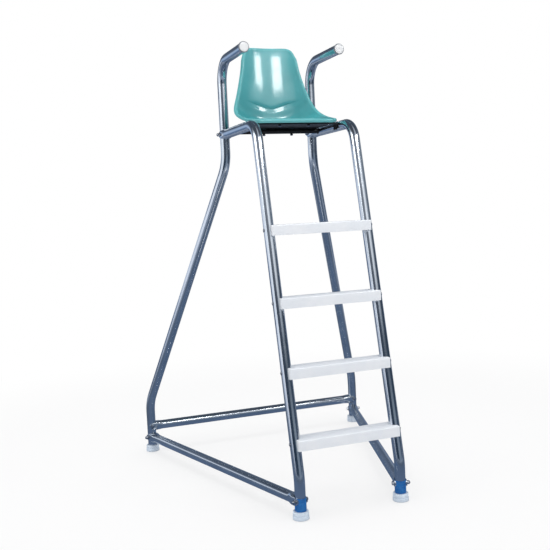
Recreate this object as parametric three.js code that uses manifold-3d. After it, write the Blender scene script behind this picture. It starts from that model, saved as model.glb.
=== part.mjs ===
// Lifeguard chair: a bent stainless tube frame, four moulded treads and a one-piece bucket seat.
// Millimetres. X runs across the chair, Y from its front to its back, Z up. Left is -X, the left hand
// of someone who faces the chair. It is put together with Y zero at the two upright posts, and the
// whole is centred over the origin at the end.

import * as THREE from 'three';
import { mergeVertices } from 'three/addons/utils/BufferGeometryUtils.js';
import Module from 'manifold-3d';

const wasm = await Module();
wasm.setup();

// Driving dimensions of the frame

const tubeDiameter = 48.3;
const tubeWall = 2;
const railSpacing = 486;
const seatRailHeight = 1734;
const topCornerReach = 508;
const frontFootReach = 858;
const frontAnkleHeight = 178;
const postKneeDrop = 150;
const handrailRise = 367;
const handrailReach = 392;
const rearFootSpacing = 1260;
const rearFootReach = 462;
const rearAnkleHeight = 282;
const sideTubeHeight = 82;
const crossTubeHeight = 145;
const seatBendRadius = 100;
const handrailBendRadius = 114;
const kneeBendRadius = 280;
const ankleBendRadius = 240;

// Driving dimensions of the treads

const treadCount = 4;
const firstTreadHeight = 300;
const treadPitch = 301;
const topTreadLift = 21;
const treadDepth = 96;
const treadNose = 42;
const treadThickness = 46;

// Driving dimensions of the seat

const seatWidth = 480;
const seatFrontReach = 412;
const seatBackReach = 34;
const seatPanClearance = 7;
const seatBackHeight = 411;
const shellThickness = 5;

// Clearance between touching pieces, and the overrun of every cut

const fitGap = 0.3;
const cutOverrun = 5;
const weldDistance = 0.0005;

// Round sections: how many flats stand for a circle

const tubeSides = 16;
const smallSides = 8;
const hexSides = 6;
const bendStep = Math.PI / 12;

// Values that follow from the driving dimensions

const tubeRadius = tubeDiameter / 2;
const tubeBore = tubeRadius - tubeWall;
const postKneeHeight = seatRailHeight - postKneeDrop;
const handrailHeight = seatRailHeight + handrailRise;
const railHalf = railSpacing / 2;
const rearHalf = rearFootSpacing / 2;
const railRun = frontFootReach - topCornerReach;
const railRise = seatRailHeight - frontAnkleHeight;
const railTilt = Math.atan2(railRun, railRise);
const sides = { left: -1, right: 1 };

const chair = new THREE.Group();

// Finishes

function stainless() {
  return new THREE.MeshStandardMaterial({ color: 0xb9bfc6, roughness: 0.12, metalness: 1 });
}

function whitePlastic() {
  return new THREE.MeshStandardMaterial({ color: 0xf1f3f5, roughness: 0.45, metalness: 0 });
}

function whiteRubber() {
  return new THREE.MeshStandardMaterial({ color: 0xdfe5e8, roughness: 0.6, metalness: 0 });
}

function bluePlastic() {
  return new THREE.MeshStandardMaterial({ color: 0x2364a4, roughness: 0.35, metalness: 0 });
}

function tealPlastic() {
  return new THREE.MeshStandardMaterial({ color: 0x3fa6a3, roughness: 0.2, metalness: 0 });
}

function blackPaint() {
  return new THREE.MeshStandardMaterial({ color: 0x1d1e20, roughness: 0.4, metalness: 0 });
}

function brass() {
  return new THREE.MeshStandardMaterial({ color: 0xb08d4a, roughness: 0.35, metalness: 1 });
}

// Solids: joining and cutting closed geometries

function toSolid(geometry) {
  const bare = new THREE.BufferGeometry();
  bare.setAttribute('position', geometry.getAttribute('position').clone());
  if (geometry.index) bare.setIndex(geometry.index.clone());
  const merged = mergeVertices(bare, weldDistance);
  const vertProperties = new Float32Array(merged.getAttribute('position').array);
  const triVerts = new Uint32Array(merged.index.array);
  return new wasm.Manifold(new wasm.Mesh({ numProp: 3, vertProperties, triVerts }));
}

function toGeometry(solid) {
  const mesh = solid.getMesh();
  const geometry = new THREE.BufferGeometry();
  geometry.setAttribute('position', new THREE.BufferAttribute(new Float32Array(mesh.vertProperties), 3));
  geometry.setIndex(new THREE.BufferAttribute(new Uint32Array(mesh.triVerts), 1));
  return geometry;
}

function cut(solid, ...geometries) {
  return geometries.reduce((rest, geometry) => rest.subtract(toSolid(geometry)), solid);
}

function join(solid, ...geometries) {
  return geometries.reduce((rest, geometry) => rest.add(toSolid(geometry)), solid);
}

function addPart(name, geometry, material, x = 0, y = 0, z = 0) {
  const part = new THREE.Mesh(geometry, material);
  part.name = name;
  part.position.set(x, y, z);
  chair.add(part);
  return part;
}

// Shapes

function polygon(radius, count) {
  const corner = (index) => (index * 2 * Math.PI) / count;
  return Array.from({ length: count }, (_, index) => new THREE.Vector2(
    radius * Math.cos(corner(index)), radius * Math.sin(corner(index))));
}

// A round rod between two points of one axis, 'x', 'y' or 'z'

function rod(axis, radius, from, to, count = smallSides) {
  const geometry = new THREE.CylinderGeometry(radius, radius, to - from, count);
  geometry.translate(0, (from + to) / 2, 0);
  if (axis === 'x') geometry.rotateZ(-Math.PI / 2);
  if (axis === 'z') geometry.rotateX(Math.PI / 2);
  return geometry;
}

function block(xFrom, xTo, yFrom, yTo, zFrom, zTo) {
  const geometry = new THREE.BoxGeometry(xTo - xFrom, yTo - yFrom, zTo - zFrom);
  geometry.translate((xFrom + xTo) / 2, (yFrom + yTo) / 2, (zFrom + zTo) / 2);
  return geometry;
}

function turned(points, count = tubeSides) {
  const profile = points.map(([radius, height]) => new THREE.Vector2(radius, height));
  return new THREE.LatheGeometry(profile, count).rotateX(Math.PI / 2);
}

// Rings of equal length, each a closed loop that runs anticlockwise seen from the last ring's side

function loft(rings) {
  const count = rings[0].length;
  const positions = rings.flat().flatMap((point) => [point.x, point.y, point.z]);
  const triangles = [];
  for (let ring = 0; ring + 1 < rings.length; ring++) {
    for (let index = 0; index < count; index++) {
      const next = (index + 1) % count;
      const a = ring * count + index;
      const b = ring * count + next;
      triangles.push(a, b, b + count, a, b + count, a + count);
    }
  }
  const last = (rings.length - 1) * count;
  for (let index = 1; index + 1 < count; index++) {
    triangles.push(0, index + 1, index);
    triangles.push(last, last + index, last + index + 1);
  }
  const geometry = new THREE.BufferGeometry();
  geometry.setAttribute('position', new THREE.Float32BufferAttribute(positions, 3));
  geometry.setIndex(triangles);
  return geometry;
}

// The centre line of a bent tube: straight runs between its corners and an arc at each inner corner.
// It is asked only for its own stations, which lie at the ends of the runs and along the arcs.

class BentLine extends THREE.Curve {
  constructor(corners, radii) {
    super();
    this.stations = [];
    corners.forEach((corner, index) => {
      if (index === 0 || index === corners.length - 1) {
        const near = corners[index === 0 ? 1 : index - 1];
        const tangent = corner.clone().sub(near).normalize().multiplyScalar(index === 0 ? -1 : 1);
        this.stations.push({ point: corner.clone(), tangent });
      } else {
        this.bend(corners[index - 1], corner, corners[index + 1], radii[index - 1]);
      }
    });
  }

  bend(before, corner, after, radius) {
    const coming = corner.clone().sub(before).normalize();
    const going = after.clone().sub(corner).normalize();
    const turn = coming.angleTo(going);
    const inward = going.clone().addScaledVector(coming, -coming.dot(going)).normalize();
    const centre = corner.clone()
      .addScaledVector(coming, -radius * Math.tan(turn / 2))
      .addScaledVector(inward, radius);
    const steps = Math.ceil(turn / bendStep);
    for (let step = 0; step <= steps; step++) {
      const angle = (turn * step) / steps;
      const point = centre.clone()
        .addScaledVector(inward, -radius * Math.cos(angle))
        .addScaledVector(coming, radius * Math.sin(angle));
      const tangent = coming.clone().multiplyScalar(Math.cos(angle))
        .addScaledVector(inward, Math.sin(angle));
      this.stations.push({ point, tangent });
    }
  }

  get steps() {
    return this.stations.length - 1;
  }

  getPointAt(share, target = new THREE.Vector3()) {
    return target.copy(this.stations[Math.round(share * this.steps)].point);
  }

  getTangentAt(share, target = new THREE.Vector3()) {
    return target.copy(this.stations[Math.round(share * this.steps)].tangent);
  }
}

function bentRod(corners, radii, radius) {
  const line = new BentLine(corners, radii);
  const section = new THREE.Shape(polygon(radius, tubeSides));
  return new THREE.ExtrudeGeometry(section, { steps: line.steps, extrudePath: line });
}

function bentTube(corners, radii, outer, inner) {
  const line = new BentLine(corners, radii);
  const section = new THREE.Shape(polygon(outer, tubeSides));
  section.holes.push(new THREE.Path(polygon(inner, tubeSides)));
  return new THREE.ExtrudeGeometry(section, { steps: line.steps, extrudePath: line });
}

// A place: local X points along a level direction, local Z stays up

function levelPlace(x, y, z, alongX, alongY) {
  const turn = new THREE.Matrix4().makeRotationZ(Math.atan2(alongY, alongX));
  return turn.setPosition(x, y, z);
}

// Forked tube ends, and the cross bolts that hold them to the legs

const earThickness = 3;
const earRadius = 16;
const flareLength = 42;
const boltRadius = 5;
const boltHole = boltRadius + fitGap;
const flangeRadius = 11;
const flangeHeight = 2;
const boltHeadFlats = 16;
const boltHeadHeight = 6.4;
const nutHeight = 8;
const nutDomeHeight = 6;
const nutBoreDepth = 9;

const postGrip = tubeRadius + fitGap;

// A ring square to a tube: round for the tube itself, wider and squarer for its fork

const roundness = 2;
const forkSquareness = 4;

function ring(centre, across, up, halfWidth, squareness) {
  const bulge = (share) => Math.sign(share) * Math.abs(share) ** (2 / squareness);
  return polygon(1, tubeSides).map((corner) => centre.clone()
    .addScaledVector(across, halfWidth * bulge(corner.x))
    .addScaledVector(up, tubeRadius * bulge(corner.y)));
}

function roundRing(centre, along, across) {
  return ring(centre, across, along.clone().cross(across), tubeRadius, roundness);
}

// A fork's rings, from where it leaves the round tube to beyond its ears. The bolt lies across.

function forkRings(joint, outward, along, across, grip) {
  const up = along.clone().cross(across);
  const at = (distance) => joint.clone().addScaledVector(outward, distance);
  const wide = grip + earThickness;
  return [
    roundRing(at(-grip - flareLength), along, across),
    ring(at(-grip), across, up, wide, forkSquareness),
    ring(at(earRadius + cutOverrun), across, up, wide, forkSquareness)];
}

// What is cut away round the two ears, in the fork's own place: X out of the tube, Z up

function earTrim(grip) {
  const far = earRadius + 2 * cutOverrun;
  const outline = new THREE.Shape();
  outline.moveTo(-grip, tubeRadius);
  outline.lineTo(-grip, tubeDiameter);
  outline.lineTo(far, tubeDiameter);
  outline.lineTo(far, -tubeDiameter);
  outline.lineTo(-grip, -tubeDiameter);
  outline.lineTo(-grip, -tubeRadius);
  outline.lineTo(0, -earRadius);
  outline.absarc(0, 0, earRadius, -Math.PI / 2, Math.PI / 2);
  const trim = new THREE.ExtrudeGeometry(outline, {
    depth: 2 * tubeDiameter, bevelEnabled: false, curveSegments: smallSides / 2 });
  return trim.translate(0, 0, -tubeDiameter).rotateX(Math.PI / 2);
}

// The leg is cut away with flats that face as the leg's own do, whichever way the tube comes in

function cutFork(tube, place, grip) {
  const leg = rod('z', grip, -tubeDiameter, tubeDiameter, tubeSides);
  const centre = new THREE.Vector3().setFromMatrixPosition(place);
  return cut(tube, leg.translate(...centre), earTrim(grip).applyMatrix4(place), boltCut(place));
}

// A straight level tube with a fork at each end

function forkedTube(startPlace, startGrip, endPlace, endGrip) {
  const start = new THREE.Vector3().setFromMatrixPosition(startPlace);
  const end = new THREE.Vector3().setFromMatrixPosition(endPlace);
  const along = end.clone().sub(start).normalize();
  const back = along.clone().negate();
  const across = new THREE.Vector3(0, 0, 1).cross(along);
  const outside = toSolid(loft([
    ...forkRings(start, back, along, across, startGrip).reverse(),
    ...forkRings(end, along, along, across, endGrip)]));
  const beyond = earRadius + 2 * cutOverrun;
  const bore = rod('x', tubeBore, -(start.distanceTo(end) + beyond), beyond, tubeSides);
  const tube = cut(outside, bore.applyMatrix4(endPlace));
  return toGeometry(cutFork(cutFork(tube, startPlace, startGrip), endPlace, endGrip));
}

function boltCut(place) {
  return rod('y', boltHole, -tubeDiameter, tubeDiameter).applyMatrix4(place);
}

// The places of the forks: where a level tube meets a leg, local X pointing out of the tube

function seatRailJoint(side) {
  return levelPlace(side * railHalf, 0, seatRailHeight, 0, 1);
}

const sideTubeAcross = rearHalf - railHalf;
const sideTubeAlong = frontFootReach + rearFootReach;

function frontBaseJoint(side) {
  return levelPlace(side * railHalf, -frontFootReach, sideTubeHeight, -side * sideTubeAcross, -sideTubeAlong);
}

function rearBaseJoint(side) {
  return levelPlace(side * rearHalf, rearFootReach, sideTubeHeight, side * sideTubeAcross, sideTubeAlong);
}

function crossTubeJoint(side) {
  return levelPlace(side * rearHalf, rearFootReach, crossTubeHeight, side, 0);
}

// Feet, sleeves and caps

const footRadius = 36.5;
const footHeight = 38;
const footFloor = 7;
const footGroove = 2;
const footGrooveHeight = 21;
const footGrooveWidth = 4;
const footEdge = 3;
const legStart = footFloor + fitGap;

function foot() {
  const socket = tubeRadius + fitGap;
  return turned([
    [0, 0], [footRadius - footEdge, 0], [footRadius, footEdge],
    [footRadius, footGrooveHeight - footGrooveWidth], [footRadius - footGroove, footGrooveHeight],
    [footRadius - footGroove, footHeight - footEdge], [footRadius - footGroove - footEdge, footHeight],
    [socket, footHeight], [socket, footFloor], [0, footFloor]]);
}

const sleeveWall = 1.6;
const sleeveTop = 97;
const sleeveBore = tubeRadius + fitGap;
const sleeveGrip = sleeveBore + sleeveWall + fitGap;

function legSleeve(side) {
  const outer = sleeveBore + sleeveWall;
  const bottom = footHeight + fitGap;
  const sleeve = turned([[sleeveBore, bottom], [outer, bottom], [outer, sleeveTop],
    [sleeveBore, sleeveTop], [sleeveBore, bottom]]);
  const bolt = frontBaseJoint(side).setPosition(0, 0, sideTubeHeight);
  return toGeometry(cut(toSolid(sleeve), boltCut(bolt)));
}

const capRadius = 26.5;
const capHead = 8;
const capEdge = 2.5;
const capPlugLength = 24;
const capPlugLead = 2;

// The cap's face looks along -Y once the turned shape lies down

function handrailCap() {
  const plug = tubeBore - fitGap;
  return turned([
    [0, 0], [plug - capPlugLead, 0], [plug, capPlugLead], [plug, capPlugLength],
    [capRadius - capEdge, capPlugLength], [capRadius, capPlugLength + capEdge],
    [capRadius, capPlugLength + capHead - capEdge], [capRadius - capEdge, capPlugLength + capHead],
    [0, capPlugLength + capHead]]).rotateX(Math.PI / 2);
}

// Frame tubes

function railY(height) {
  return -frontFootReach + (height - frontAnkleHeight) * Math.tan(railTilt);
}

function treadHeight(index) {
  const atTop = index === treadCount - 1;
  return firstTreadHeight + index * treadPitch + (atTop ? topTreadLift : 0);
}

const treadBoltRadius = 4;
const treadBoltHole = treadBoltRadius + fitGap;

function treadBoltHeight(index) {
  return treadHeight(index) + treadThickness / 2;
}

function frontRail(side) {
  const x = side * railHalf;
  const path = (bottom, back) => [
    new THREE.Vector3(x, -frontFootReach, bottom),
    new THREE.Vector3(x, -frontFootReach, frontAnkleHeight),
    new THREE.Vector3(x, -topCornerReach, seatRailHeight),
    new THREE.Vector3(x, back, seatRailHeight)];
  const radii = [ankleBendRadius, seatBendRadius];
  const across = new THREE.Vector3(1, 0, 0);
  const back = new THREE.Vector3(0, 1, 0);
  const joint = new THREE.Vector3(x, 0, seatRailHeight);
  const line = new BentLine(path(legStart, -(postGrip + flareLength)), radii);
  const outside = toSolid(loft([
    ...line.stations.map(({ point, tangent }) => roundRing(point, tangent, across)),
    ...forkRings(joint, back, back, across, postGrip).slice(1)]));
  const bore = bentRod(path(legStart - cutOverrun, cutOverrun), radii, tubeBore);
  const drills = Array.from({ length: treadCount }, (_, index) => rod(
    'x', treadBoltHole, -tubeDiameter, tubeDiameter)
    .translate(x, railY(treadBoltHeight(index)), treadBoltHeight(index)));
  const drilled = cut(outside, bore, boltCut(frontBaseJoint(side)), ...drills);
  return toGeometry(cutFork(drilled, seatRailJoint(side), postGrip));
}

function rearPost(side) {
  const tube = toSolid(bentTube([
    new THREE.Vector3(side * rearHalf, rearFootReach, legStart),
    new THREE.Vector3(side * rearHalf, rearFootReach, rearAnkleHeight),
    new THREE.Vector3(side * railHalf, 0, postKneeHeight),
    new THREE.Vector3(side * railHalf, 0, handrailHeight),
    new THREE.Vector3(side * railHalf, -(handrailReach - capHead - fitGap), handrailHeight)],
  [ankleBendRadius, kneeBendRadius, handrailBendRadius], tubeRadius, tubeBore));
  return toGeometry(cut(tube, boltCut(seatRailJoint(side)), boltCut(rearBaseJoint(side)),
    boltCut(crossTubeJoint(side))));
}

function sideTube(side) {
  return forkedTube(frontBaseJoint(side), sleeveGrip, rearBaseJoint(side), postGrip);
}

function crossTube() {
  return forkedTube(crossTubeJoint(sides.left), postGrip, crossTubeJoint(sides.right), postGrip);
}

// Seat supports: a round bearer at the back, a hat-shaped strap at the front and a flat plate on both

const bearerDiameter = 25.4;
const bearerWall = 1.6;
const bearerSetback = 98;
const bearerReach = seatBackReach + bearerSetback;
const strapSetback = 44;
const strapReach = seatFrontReach - strapSetback;
const strapWidth = 38;
const strapThickness = 5;
const strapFlange = 32;
const bushRadius = 7;
const bushReach = 6;
const spigotRadius = 10;
const seatBoltSpread = 150;
const seatBoltRadius = 4;
const seatBoltHole = seatBoltRadius + fitGap;
const plateSideGap = 4;
const plateWidth = railSpacing - tubeDiameter - 2 * plateSideGap;
const plateFrontMargin = 17;
const plateFrontReach = strapReach + plateFrontMargin;
const plateBackMargin = 70;
const plateBackReach = bearerReach - plateBackMargin;
const plateThickness = 6;
const plateCorner = 24;
const supportTop = seatRailHeight + bearerDiameter / 2;
const plateBottom = supportTop + fitGap;
const plateTop = plateBottom + plateThickness;
const seatPanHeight = plateTop + seatPanClearance;
const seatBackTop = seatPanHeight + seatBackHeight;

function seatBoltPlaces(reach) {
  return [-1, 1].map((side) => ({ x: (side * seatBoltSpread) / 2, y: -reach }));
}

function railCut(side) {
  return rod('y', tubeRadius + fitGap, -frontFootReach, 0, tubeSides)
    .translate(side * railHalf, 0, seatRailHeight);
}

function seatBearer() {
  const radius = bearerDiameter / 2;
  let bearer = toSolid(bentTube([
    new THREE.Vector3(-railHalf, -bearerReach, seatRailHeight),
    new THREE.Vector3(railHalf, -bearerReach, seatRailHeight)], [], radius, radius - bearerWall));
  for (const { x, y } of seatBoltPlaces(bearerReach)) {
    const bush = rod('z', bushRadius, -(radius + bushReach), radius - bearerWall / 2);
    const hole = rod('z', seatBoltHole, -bearerDiameter, bearerDiameter);
    bearer = cut(join(bearer, bush.translate(x, y, seatRailHeight)), hole.translate(x, y, seatRailHeight));
  }
  return toGeometry(cut(bearer, railCut(sides.left), railCut(sides.right)));
}

function seatStrap() {
  const outer = railHalf - tubeRadius - fitGap;
  const inner = outer - strapThickness;
  const under = supportTop - strapThickness;
  const toe = supportTop - strapFlange;
  const outline = new THREE.Shape([
    [-outer, toe], [-inner, toe], [-inner, under], [inner, under], [inner, toe], [outer, toe],
    [outer, supportTop], [-outer, supportTop]].map(([x, z]) => new THREE.Vector2(x, z)));
  const bar = new THREE.ExtrudeGeometry(outline, { depth: strapWidth, bevelEnabled: false });
  let strap = toSolid(bar.rotateX(Math.PI / 2).translate(0, strapWidth / 2 - strapReach, 0));
  for (const { x, y } of seatBoltPlaces(strapReach)) {
    const bush = rod('z', bushRadius, -(strapThickness + bushReach), -strapThickness / 2);
    const hole = rod('z', seatBoltHole, -strapFlange, strapFlange);
    strap = cut(join(strap, bush.translate(x, y, supportTop)), hole.translate(x, y, supportTop));
  }
  return toGeometry(strap);
}

function seatPlate() {
  const half = plateWidth / 2;
  const inset = half - plateCorner;
  const front = -plateFrontReach + plateCorner;
  const back = -plateBackReach - plateCorner;
  const outline = new THREE.Shape();
  outline.absarc(inset, back, plateCorner, 0, Math.PI / 2);
  outline.absarc(-inset, back, plateCorner, Math.PI / 2, Math.PI);
  outline.absarc(-inset, front, plateCorner, Math.PI, Math.PI * 3 / 2);
  outline.absarc(inset, front, plateCorner, Math.PI * 3 / 2, 2 * Math.PI);
  const plate = new THREE.ExtrudeGeometry(outline, {
    depth: plateThickness, bevelEnabled: false, curveSegments: smallSides / 2 });
  const holes = [...seatBoltPlaces(strapReach), ...seatBoltPlaces(bearerReach)].map(({ x, y }) => rod(
    'z', spigotRadius + fitGap, -cutOverrun, plateThickness + cutOverrun).translate(x, y, 0));
  return toGeometry(cut(toSolid(plate), ...holes));
}

// Treads: moulded channels with solid ends that are coped to the rails

const treadSkin = 4.5;
const treadSkirt = 4;
const treadEdge = 4;
const treadBack = treadDepth - treadNose;
const treadEndBlock = 58;
const treadRib = 3;
const treadPockets = 4;
const insertRadius = 6.5;
const insertLength = 24;
const insertSetback = 6;
const insertSocket = insertRadius + fitGap;
const insertOuterEnd = railHalf - tubeRadius - insertSetback;
const insertInnerEnd = insertOuterEnd - insertLength;

function treadOutline() {
  const outline = new THREE.Shape();
  outline.moveTo(-treadNose + treadEdge, treadThickness);
  outline.absarc(-treadNose + treadEdge, treadThickness - treadEdge, treadEdge, Math.PI / 2, Math.PI);
  outline.lineTo(-treadNose, 0);
  outline.lineTo(treadBack, 0);
  outline.absarc(treadBack - treadEdge, treadThickness - treadEdge, treadEdge, 0, Math.PI / 2);
  return outline;
}

// The tread lies along X with its underside at height zero and the rail's line over its origin

function tread(index) {
  const halfLength = railHalf - fitGap;
  const body = new THREE.ExtrudeGeometry(treadOutline(), {
    depth: 2 * halfLength, bevelEnabled: false, curveSegments: 2 });
  body.translate(0, 0, -halfLength).rotateX(Math.PI / 2).rotateZ(Math.PI / 2);
  const hollow = halfLength - treadEndBlock;
  const pocketPitch = (2 * hollow + treadRib) / treadPockets;
  const pockets = Array.from({ length: treadPockets }, (_, pocket) => block(
    -hollow + pocket * pocketPitch, -hollow + (pocket + 1) * pocketPitch - treadRib,
    -treadNose + treadSkirt, treadBack - treadSkirt, -cutOverrun, treadThickness - treadSkin));
  const middle = treadThickness / 2;
  const boltY = railY(treadBoltHeight(index)) - railY(treadHeight(index));
  const ends = [-1, 1].flatMap((side) => [
    rod('z', tubeRadius + fitGap, -treadDepth, treadDepth, tubeSides)
      .rotateX(-railTilt).translate(side * railHalf, 0, 0),
    rod('x', treadBoltHole, ...[insertOuterEnd, railHalf].map((x) => side * x).sort((a, b) => a - b))
      .translate(0, boltY, middle),
    rod('x', insertSocket, ...[insertInnerEnd, insertOuterEnd + insertSetback]
      .map((x) => side * x).sort((a, b) => a - b)).translate(0, boltY, middle)]);
  return toGeometry(cut(toSolid(body), ...pockets, ...ends));
}

// Seat: one moulded shell with a rolled rim. Its four bosses rest on the plate, and their spigots go
// through it. The bolts come from below, so that nothing shows on the sitting face.

const rimRadius = 8;
const rimDrop = 8;
const rimSteps = 2;
const bossRadius = 16;
const bossEmbed = 2.5;
const seatBoltCover = 3.5;
const seatColumns = 12;
const seatRows = 14;

// The shell's middle line and side edge from the front of the pan to the top of the back. Reach and
// rise are shares of the shell's depth and height, half-width is a share of half its width. Bowl and
// shoulder say how long the shell keeps its middle reach and rise before it turns to its edge.

const seatShares = [
  { reach: 0, rise: 0.010, edgeReach: 0.012, edgeRise: 0.010, halfWidth: 0.80, bowl: 4, shoulder: 4 },
  { reach: 0.045, rise: 0.025, edgeReach: 0.055, edgeRise: 0.022, halfWidth: 0.905, bowl: 4, shoulder: 4 },
  { reach: 0.19, rise: 0.022, edgeReach: 0.177, edgeRise: 0.040, halfWidth: 0.945, bowl: 4, shoulder: 4 },
  { reach: 0.40, rise: 0.010, edgeReach: 0.389, edgeRise: 0.080, halfWidth: 0.948, bowl: 4, shoulder: 4 },
  { reach: 0.585, rise: 0.002, edgeReach: 0.574, edgeRise: 0.129, halfWidth: 0.942, bowl: 4, shoulder: 4 },
  { reach: 0.72, rise: 0.001, edgeReach: 0.693, edgeRise: 0.179, halfWidth: 0.922, bowl: 3.8, shoulder: 3.8 },
  { reach: 0.835, rise: 0.012, edgeReach: 0.767, edgeRise: 0.239, halfWidth: 0.887, bowl: 3.2, shoulder: 3.2 },
  { reach: 0.925, rise: 0.089, edgeReach: 0.810, edgeRise: 0.313, halfWidth: 0.838, bowl: 2.7, shoulder: 2.7 },
  { reach: 0.957, rise: 0.207, edgeReach: 0.831, edgeRise: 0.392, halfWidth: 0.790, bowl: 2.4, shoulder: 2.4 },
  { reach: 0.955, rise: 0.392, edgeReach: 0.862, edgeRise: 0.516, halfWidth: 0.725, bowl: 2.3, shoulder: 2.3 },
  { reach: 0.967, rise: 0.628, edgeReach: 0.892, edgeRise: 0.700, halfWidth: 0.646, bowl: 2.2, shoulder: 2.2 },
  { reach: 0.982, rise: 0.851, edgeReach: 0.910, edgeRise: 0.849, halfWidth: 0.602, bowl: 2.2, shoulder: 3 },
  { reach: 0.992, rise: 0.950, edgeReach: 0.926, edgeRise: 0.917, halfWidth: 0.593, bowl: 2.2, shoulder: 6 },
  { reach: 1, rise: 1, edgeReach: 0.932, edgeRise: 0.967, halfWidth: 0.542, bowl: 2.2, shoulder: 10 }];

function seatPoint(row, across) {
  const front = seatFrontReach - rimRadius;
  const depth = front - seatBackReach;
  const height = seatBackTop - rimRadius - seatPanHeight;
  const reach = row.reach + (row.edgeReach - row.reach) * Math.abs(across) ** row.bowl;
  const rise = row.rise + (row.edgeRise - row.rise) * Math.abs(across) ** row.shoulder;
  return new THREE.Vector3(across * row.halfWidth * (seatWidth / 2 - rimRadius),
    -front + reach * depth, seatPanHeight + rise * height);
}

// A table of shares read between its rows along a smooth curve

function seatRow(share) {
  const row = {};
  for (const key of Object.keys(seatShares[0])) {
    const curve = new THREE.SplineCurve(seatShares.map((shares, index) => new THREE.Vector2(index, shares[key])));
    row[key] = curve.getPoint(share).y;
  }
  return row;
}

function sheetGeometry(points, triangles) {
  const geometry = new THREE.BufferGeometry();
  geometry.setAttribute('position', new THREE.Float32BufferAttribute(
    points.flatMap((point) => [point.x, point.y, point.z]), 3));
  geometry.setIndex(triangles);
  geometry.computeVertexNormals();
  const normals = points.map((_, index) => new THREE.Vector3().fromBufferAttribute(
    geometry.getAttribute('normal'), index));
  return { geometry, points, triangles, normals };
}

// The sitting face without its rim, rows from the front edge to the top of the back

function sittingFace() {
  const points = [];
  const triangles = [];
  for (let row = 0; row <= seatRows; row++) {
    const shares = seatRow(row / seatRows);
    for (let column = 0; column <= seatColumns; column++) {
      const across = Math.sin((column / seatColumns - 0.5) * Math.PI);
      points.push(seatPoint(shares, across));
      if (row === 0 || column === 0) continue;
      const d = points.length - 1;
      const b = d - seatColumns - 1;
      if (column > seatColumns / 2) triangles.push(b - 1, b, d, b - 1, d, d - 1);
      else triangles.push(b - 1, b, d - 1, b, d, d - 1);
    }
  }
  const width = seatColumns + 1;
  const loop = [];
  for (let column = 0; column < seatColumns; column++) loop.push(column);
  for (let row = 0; row < seatRows; row++) loop.push(row * width + seatColumns);
  for (let column = seatColumns; column > 0; column--) loop.push(seatRows * width + column);
  for (let row = seatRows; row > 0; row--) loop.push(row * width);
  return { ...sheetGeometry(points, triangles), loop };
}

// The rim rolls outward and away from the sitter, then drops straight

function withRim(face) {
  const points = [...face.points];
  const triangles = [...face.triangles];
  const count = face.loop.length;
  const edge = face.loop.map((vertex, index) => {
    const before = points[face.loop[(index + count - 1) % count]];
    const after = points[face.loop[(index + 1) % count]];
    const normal = face.normals[vertex];
    const outward = after.clone().sub(before).cross(normal).normalize();
    return { point: points[vertex], normal, outward };
  });
  let inner = face.loop;
  for (let step = 1; step <= rimSteps + 1; step++) {
    const angle = (Math.min(step, rimSteps) / rimSteps) * (Math.PI / 2);
    const drop = rimRadius * (1 - Math.cos(angle)) + (step > rimSteps ? rimDrop : 0);
    const ring = edge.map(({ point, normal, outward }) => {
      points.push(point.clone().addScaledVector(outward, rimRadius * Math.sin(angle))
        .addScaledVector(normal, -drop));
      return points.length - 1;
    });
    for (let index = 0; index < count; index++) {
      const next = (index + 1) % count;
      triangles.push(inner[index], ring[index], ring[next], inner[index], ring[next], inner[next]);
    }
    inner = ring;
  }
  return { ...sheetGeometry(points, triangles), loop: inner };
}

function thicken(sheet, thickness) {
  const count = sheet.points.length;
  const points = [...sheet.points, ...sheet.points.map(
    (point, index) => point.clone().addScaledVector(sheet.normals[index], -thickness))];
  const triangles = [...sheet.triangles];
  for (let index = 0; index < sheet.triangles.length; index += 3) {
    const [a, b, c] = sheet.triangles.slice(index, index + 3);
    triangles.push(a + count, c + count, b + count);
  }
  sheet.loop.forEach((vertex, index) => {
    const next = sheet.loop[(index + 1) % sheet.loop.length];
    triangles.push(vertex, vertex + count, next + count, vertex, next + count, next);
  });
  return sheetGeometry(points, triangles).geometry;
}

const seatSheet = withRim(sittingFace());

function seatHeightAt(x, y) {
  const above = new THREE.Vector3(x, y, seatBackTop);
  const ray = new THREE.Raycaster(above, new THREE.Vector3(0, 0, -1));
  const hits = ray.intersectObject(new THREE.Mesh(seatSheet.geometry));
  return hits[0].point.z;
}

function seatBoltEnd({ x, y }) {
  return seatHeightAt(x, y) - seatBoltCover;
}

function seatShell() {
  let shell = toSolid(thicken(seatSheet, shellThickness));
  for (const bolt of [...seatBoltPlaces(strapReach), ...seatBoltPlaces(bearerReach)]) {
    const inside = seatHeightAt(bolt.x, bolt.y) - bossEmbed;
    const boss = rod('z', bossRadius, plateTop + fitGap, inside, tubeSides);
    const spigot = rod('z', spigotRadius, supportTop + fitGap, inside);
    const hole = rod('z', seatBoltHole, plateBottom - cutOverrun, seatBoltEnd(bolt));
    const raised = join(shell, boss.translate(bolt.x, bolt.y, 0), spigot.translate(bolt.x, bolt.y, 0));
    shell = cut(raised, hole.translate(bolt.x, bolt.y, 0));
  }
  return toGeometry(shell);
}

// Fasteners. Each is made along Z with its bearing face at zero, ready to be set in its place.

const seatHeadRadius = 9;
const seatHeadHeight = 4;
const treadHeadRadius = 8.5;
const treadHeadHeight = 3.5;
const boltTail = 2;

function hexPrism(from, to) {
  return rod('z', boltHeadFlats / 2 / Math.cos(Math.PI / hexSides), from, to, hexSides);
}

// The shank points down from the flanged head's bearing face

function flangeBolt(length) {
  const head = join(toSolid(rod('z', flangeRadius, 0, flangeHeight)),
    hexPrism(flangeHeight / 2, flangeHeight + boltHeadHeight));
  return toGeometry(join(head, rod('z', boltRadius, -length, flangeHeight / 2)));
}

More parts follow.
